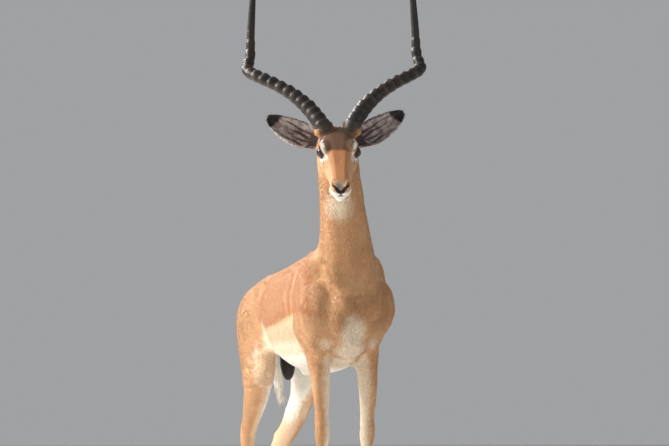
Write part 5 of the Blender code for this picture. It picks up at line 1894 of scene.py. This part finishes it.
class IMPALA_OT_coat(ImpalaPiece, bpy.types.Operator):
    """Grow the coat's tufts over the skin, one piece for each region"""
    bl_idname = "impala.coat"
    bl_label = "Coat"

    def execute(self, context):
        settings = context.scene.impala_coat
        skin = bpy.data.objects["skin"].data
        centres = rows_of(skin.polygons, "center") - np.array(STAND)
        region = region_of_face(centres, rows_of(skin.polygons, "normal"))
        material, blade, group = tuft_material(settings), tuft_blade(), coat_tree()
        closeness = settings.tufts_per_area * 1.0
        last = max(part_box(node)[1][1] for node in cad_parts)
        for k, name in enumerate(sorted(set(region) - {"scrotum"})):
            values = {"Tuft": blade, "Tufts per Area": closeness, "Thickness": settings.thickness,
                      "Lift": settings.lift, "Spread": settings.spread, "Seed": settings.seed + 31 * k,
                      "Material": material}
            mesh = made_by_nodes("coat_" + name, patch_of(skin, region == name), group, values)
            mesh.materials.clear()
            mesh.materials.append(material)
            hold_within(mesh, last)
            tufts = linked("coat_" + name, mesh)
            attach(tufts, "root")
        bpy.data.objects.remove(blade)
        return {"FINISHED"}


class IMPALA_OT_horns(ImpalaPiece, bpy.types.Operator):
    """Sweep the two ridged horns"""
    bl_idname = "impala.horns"
    bl_label = "Horns"

    def execute(self, context):
        settings = context.scene.impala_horns
        material, group = horn_material(settings), horn_tree()
        for side, sign in SIDES.items():
            mesh = made_by_nodes("horn_" + side, horn_line(sign, settings.steps), group,
                                 {"Sides": settings.sides, "Material": material})
            ridged(mesh, sign)
            bm = bmesh.new()
            bm.from_mesh(mesh)
            horn = placed("ridged_horn_" + side, made_mesh("ridged horn", bm), material)
            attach(horn, "root")
            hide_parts("horn_" + side)
        return {"FINISHED"}


class IMPALA_OT_hooves(ImpalaPiece, bpy.types.Operator):
    """Shape the cloven hooves"""
    bl_idname = "impala.hooves"
    bl_label = "Hooves"

    def execute(self, context):
        material = hoof_material(context.scene.impala_hooves)
        for end in ("fore", "hind"):
            for side in SIDES:
                claws = []
                for place, sign in (("inner", -SIDES[side]), ("outer", SIDES[side])):
                    node = f"hoof_{end}_{side}_{place}"
                    low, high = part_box(node)
                    claw = claw_mesh(sign)
                    made, _ = arrays(claw)
                    middle_made = (made.min(0) + made.max(0)) / 2
                    shift = (np.array(low) + np.array(high)) / 2 - middle_made - np.array(STAND)
                    shift[2] = 0.0
                    claw.transform(Matrix.Translation(Vector(shift)))
                    claws.append(claw)
                hoof = placed(f"hoof_{end}_{side}", joined("hoof", claws), material)
                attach(hoof, "root")
                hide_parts(f"hoof_{end}_{side}_inner", f"hoof_{end}_{side}_outer")
        return {"FINISHED"}


class IMPALA_OT_eyes(ImpalaPiece, bpy.types.Operator):
    """Set the eyes and their dark lids"""
    bl_idname = "impala.eyes"
    bl_label = "Eyes"

    def execute(self, context):
        wet, bare = eye_material(), bare_material()
        for side, sign in SIDES.items():
            eye = placed("eyeball_" + side, eyeball_mesh(sign), wet)
            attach(eye, "root")
            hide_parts("eye_" + side)
            lid = placed("lid_" + side, lid_mesh(sign), bare)
            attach(lid, "root")
        return {"FINISHED"}


class IMPALA_OT_stage(ImpalaPiece, bpy.types.Operator):
    """Lay the plain floor and set the soft lights and the camera"""
    bl_idname = "impala.stage"
    bl_label = "Stage"

    def execute(self, context):
        settings = context.scene.impala_stage
        bm = bmesh.new()
        bmesh.ops.create_grid(bm, x_segments=1, y_segments=1, size=60.0)
        floor = linked("floor", made_mesh("floor", bm, outwards=False))
        floor.data.materials.append(stage_material("Floor", tuple(settings.floor_colour)))

        distance = settings.camera_distance
        turn, tilt = CAMERA_TURN, CAMERA_TILT
        right = Vector((math.cos(turn), math.sin(turn), 0))
        ahead = Vector((-math.sin(turn), math.cos(turn), 0))
        target = STAND + right * -0.0274 + Vector((0, 0, 0.931))
        place = target - (ahead * math.cos(tilt) + Vector((0, 0, math.sin(tilt)))) * distance
        lens = bpy.data.cameras.new("camera")
        lens.sensor_width = 36
        lens.lens = 18.24 * distance
        lens.clip_end = 200
        context.scene.camera = aimed("camera", lens, place, target)

        middle_place = STAND + Vector((0, 0.2, 0.85))
        for name, power, size, across, back, up, colour in (
                ("key", 520, 1.7, -4.6, -0.1, 2.6, (1.0, 0.95, 0.88)),
                ("fill", 30, 3.0, 3.2, -3.6, 1.2, (0.93, 0.96, 1.0)),
                ("rim", 205, 1.6, -2.6, 3.2, 2.8, (1.0, 0.97, 0.93))):
            lamp = bpy.data.lights.new(name, "AREA")
            lamp.energy = power
            lamp.size = size
            lamp.color = colour
            aimed(name, lamp, middle_place + right * across + ahead * back + Vector((0, 0, up)), middle_place)

        world = bpy.data.worlds.new("world")
        context.scene.world = world
        world.use_nodes = True
        sky = world.node_tree.nodes["Background"]
        sky.inputs["Color"].default_value = (0.93, 0.94, 0.96, 1.0)
        sky.inputs["Strength"].default_value = 0.38
        context.scene.view_settings.view_transform = "Standard"
        return {"FINISHED"}


class IMPALA_PT_panel(bpy.types.Panel):
    """The impala's pieces and sizes"""
    bl_idname = "IMPALA_PT_panel"
    bl_label = "Impala"
    bl_space_type = "VIEW_3D"
    bl_region_type = "UI"
    bl_category = "Impala"

    def draw(self, context):
        for group, operator in PANEL_ROWS:
            box = self.layout.box()
            if group:
                settings = settings_of(context, group)
                for name in type(settings).__annotations__:
                    box.prop(settings, name)
            box.operator(operator.bl_idname)


SETTINGS = {
    "impala_skin": SkinSettings,
    "impala_coat": CoatSettings,
    "impala_horns": HornSettings,
    "impala_hooves": HoofSettings,
    "impala_stage": StageSettings,
}
PANEL_ROWS = (
    ("impala_skin", IMPALA_OT_skin),
    ("impala_coat", IMPALA_OT_coat),
    ("impala_horns", IMPALA_OT_horns),
    ("impala_hooves", IMPALA_OT_hooves),
    (None, IMPALA_OT_eyes),
    ("impala_stage", IMPALA_OT_stage),
)
OPERATORS = tuple(operator for _, operator in PANEL_ROWS)
CLASSES = tuple(SETTINGS.values()) + OPERATORS + (IMPALA_PT_panel,)


def register():
    for item in CLASSES:
        bpy.utils.register_class(item)
    for name, group in SETTINGS.items():
        setattr(bpy.types.Scene, name, bpy.props.PointerProperty(type=group))


def unregister():
    for name in SETTINGS:
        delattr(bpy.types.Scene, name)
    for item in reversed(CLASSES):
        bpy.utils.unregister_class(item)


def main():
    register()
    for operator in OPERATORS:
        group, name = operator.bl_idname.split(".")
        getattr(getattr(bpy.ops, group), name)()


if __name__ == "__main__":
    main()
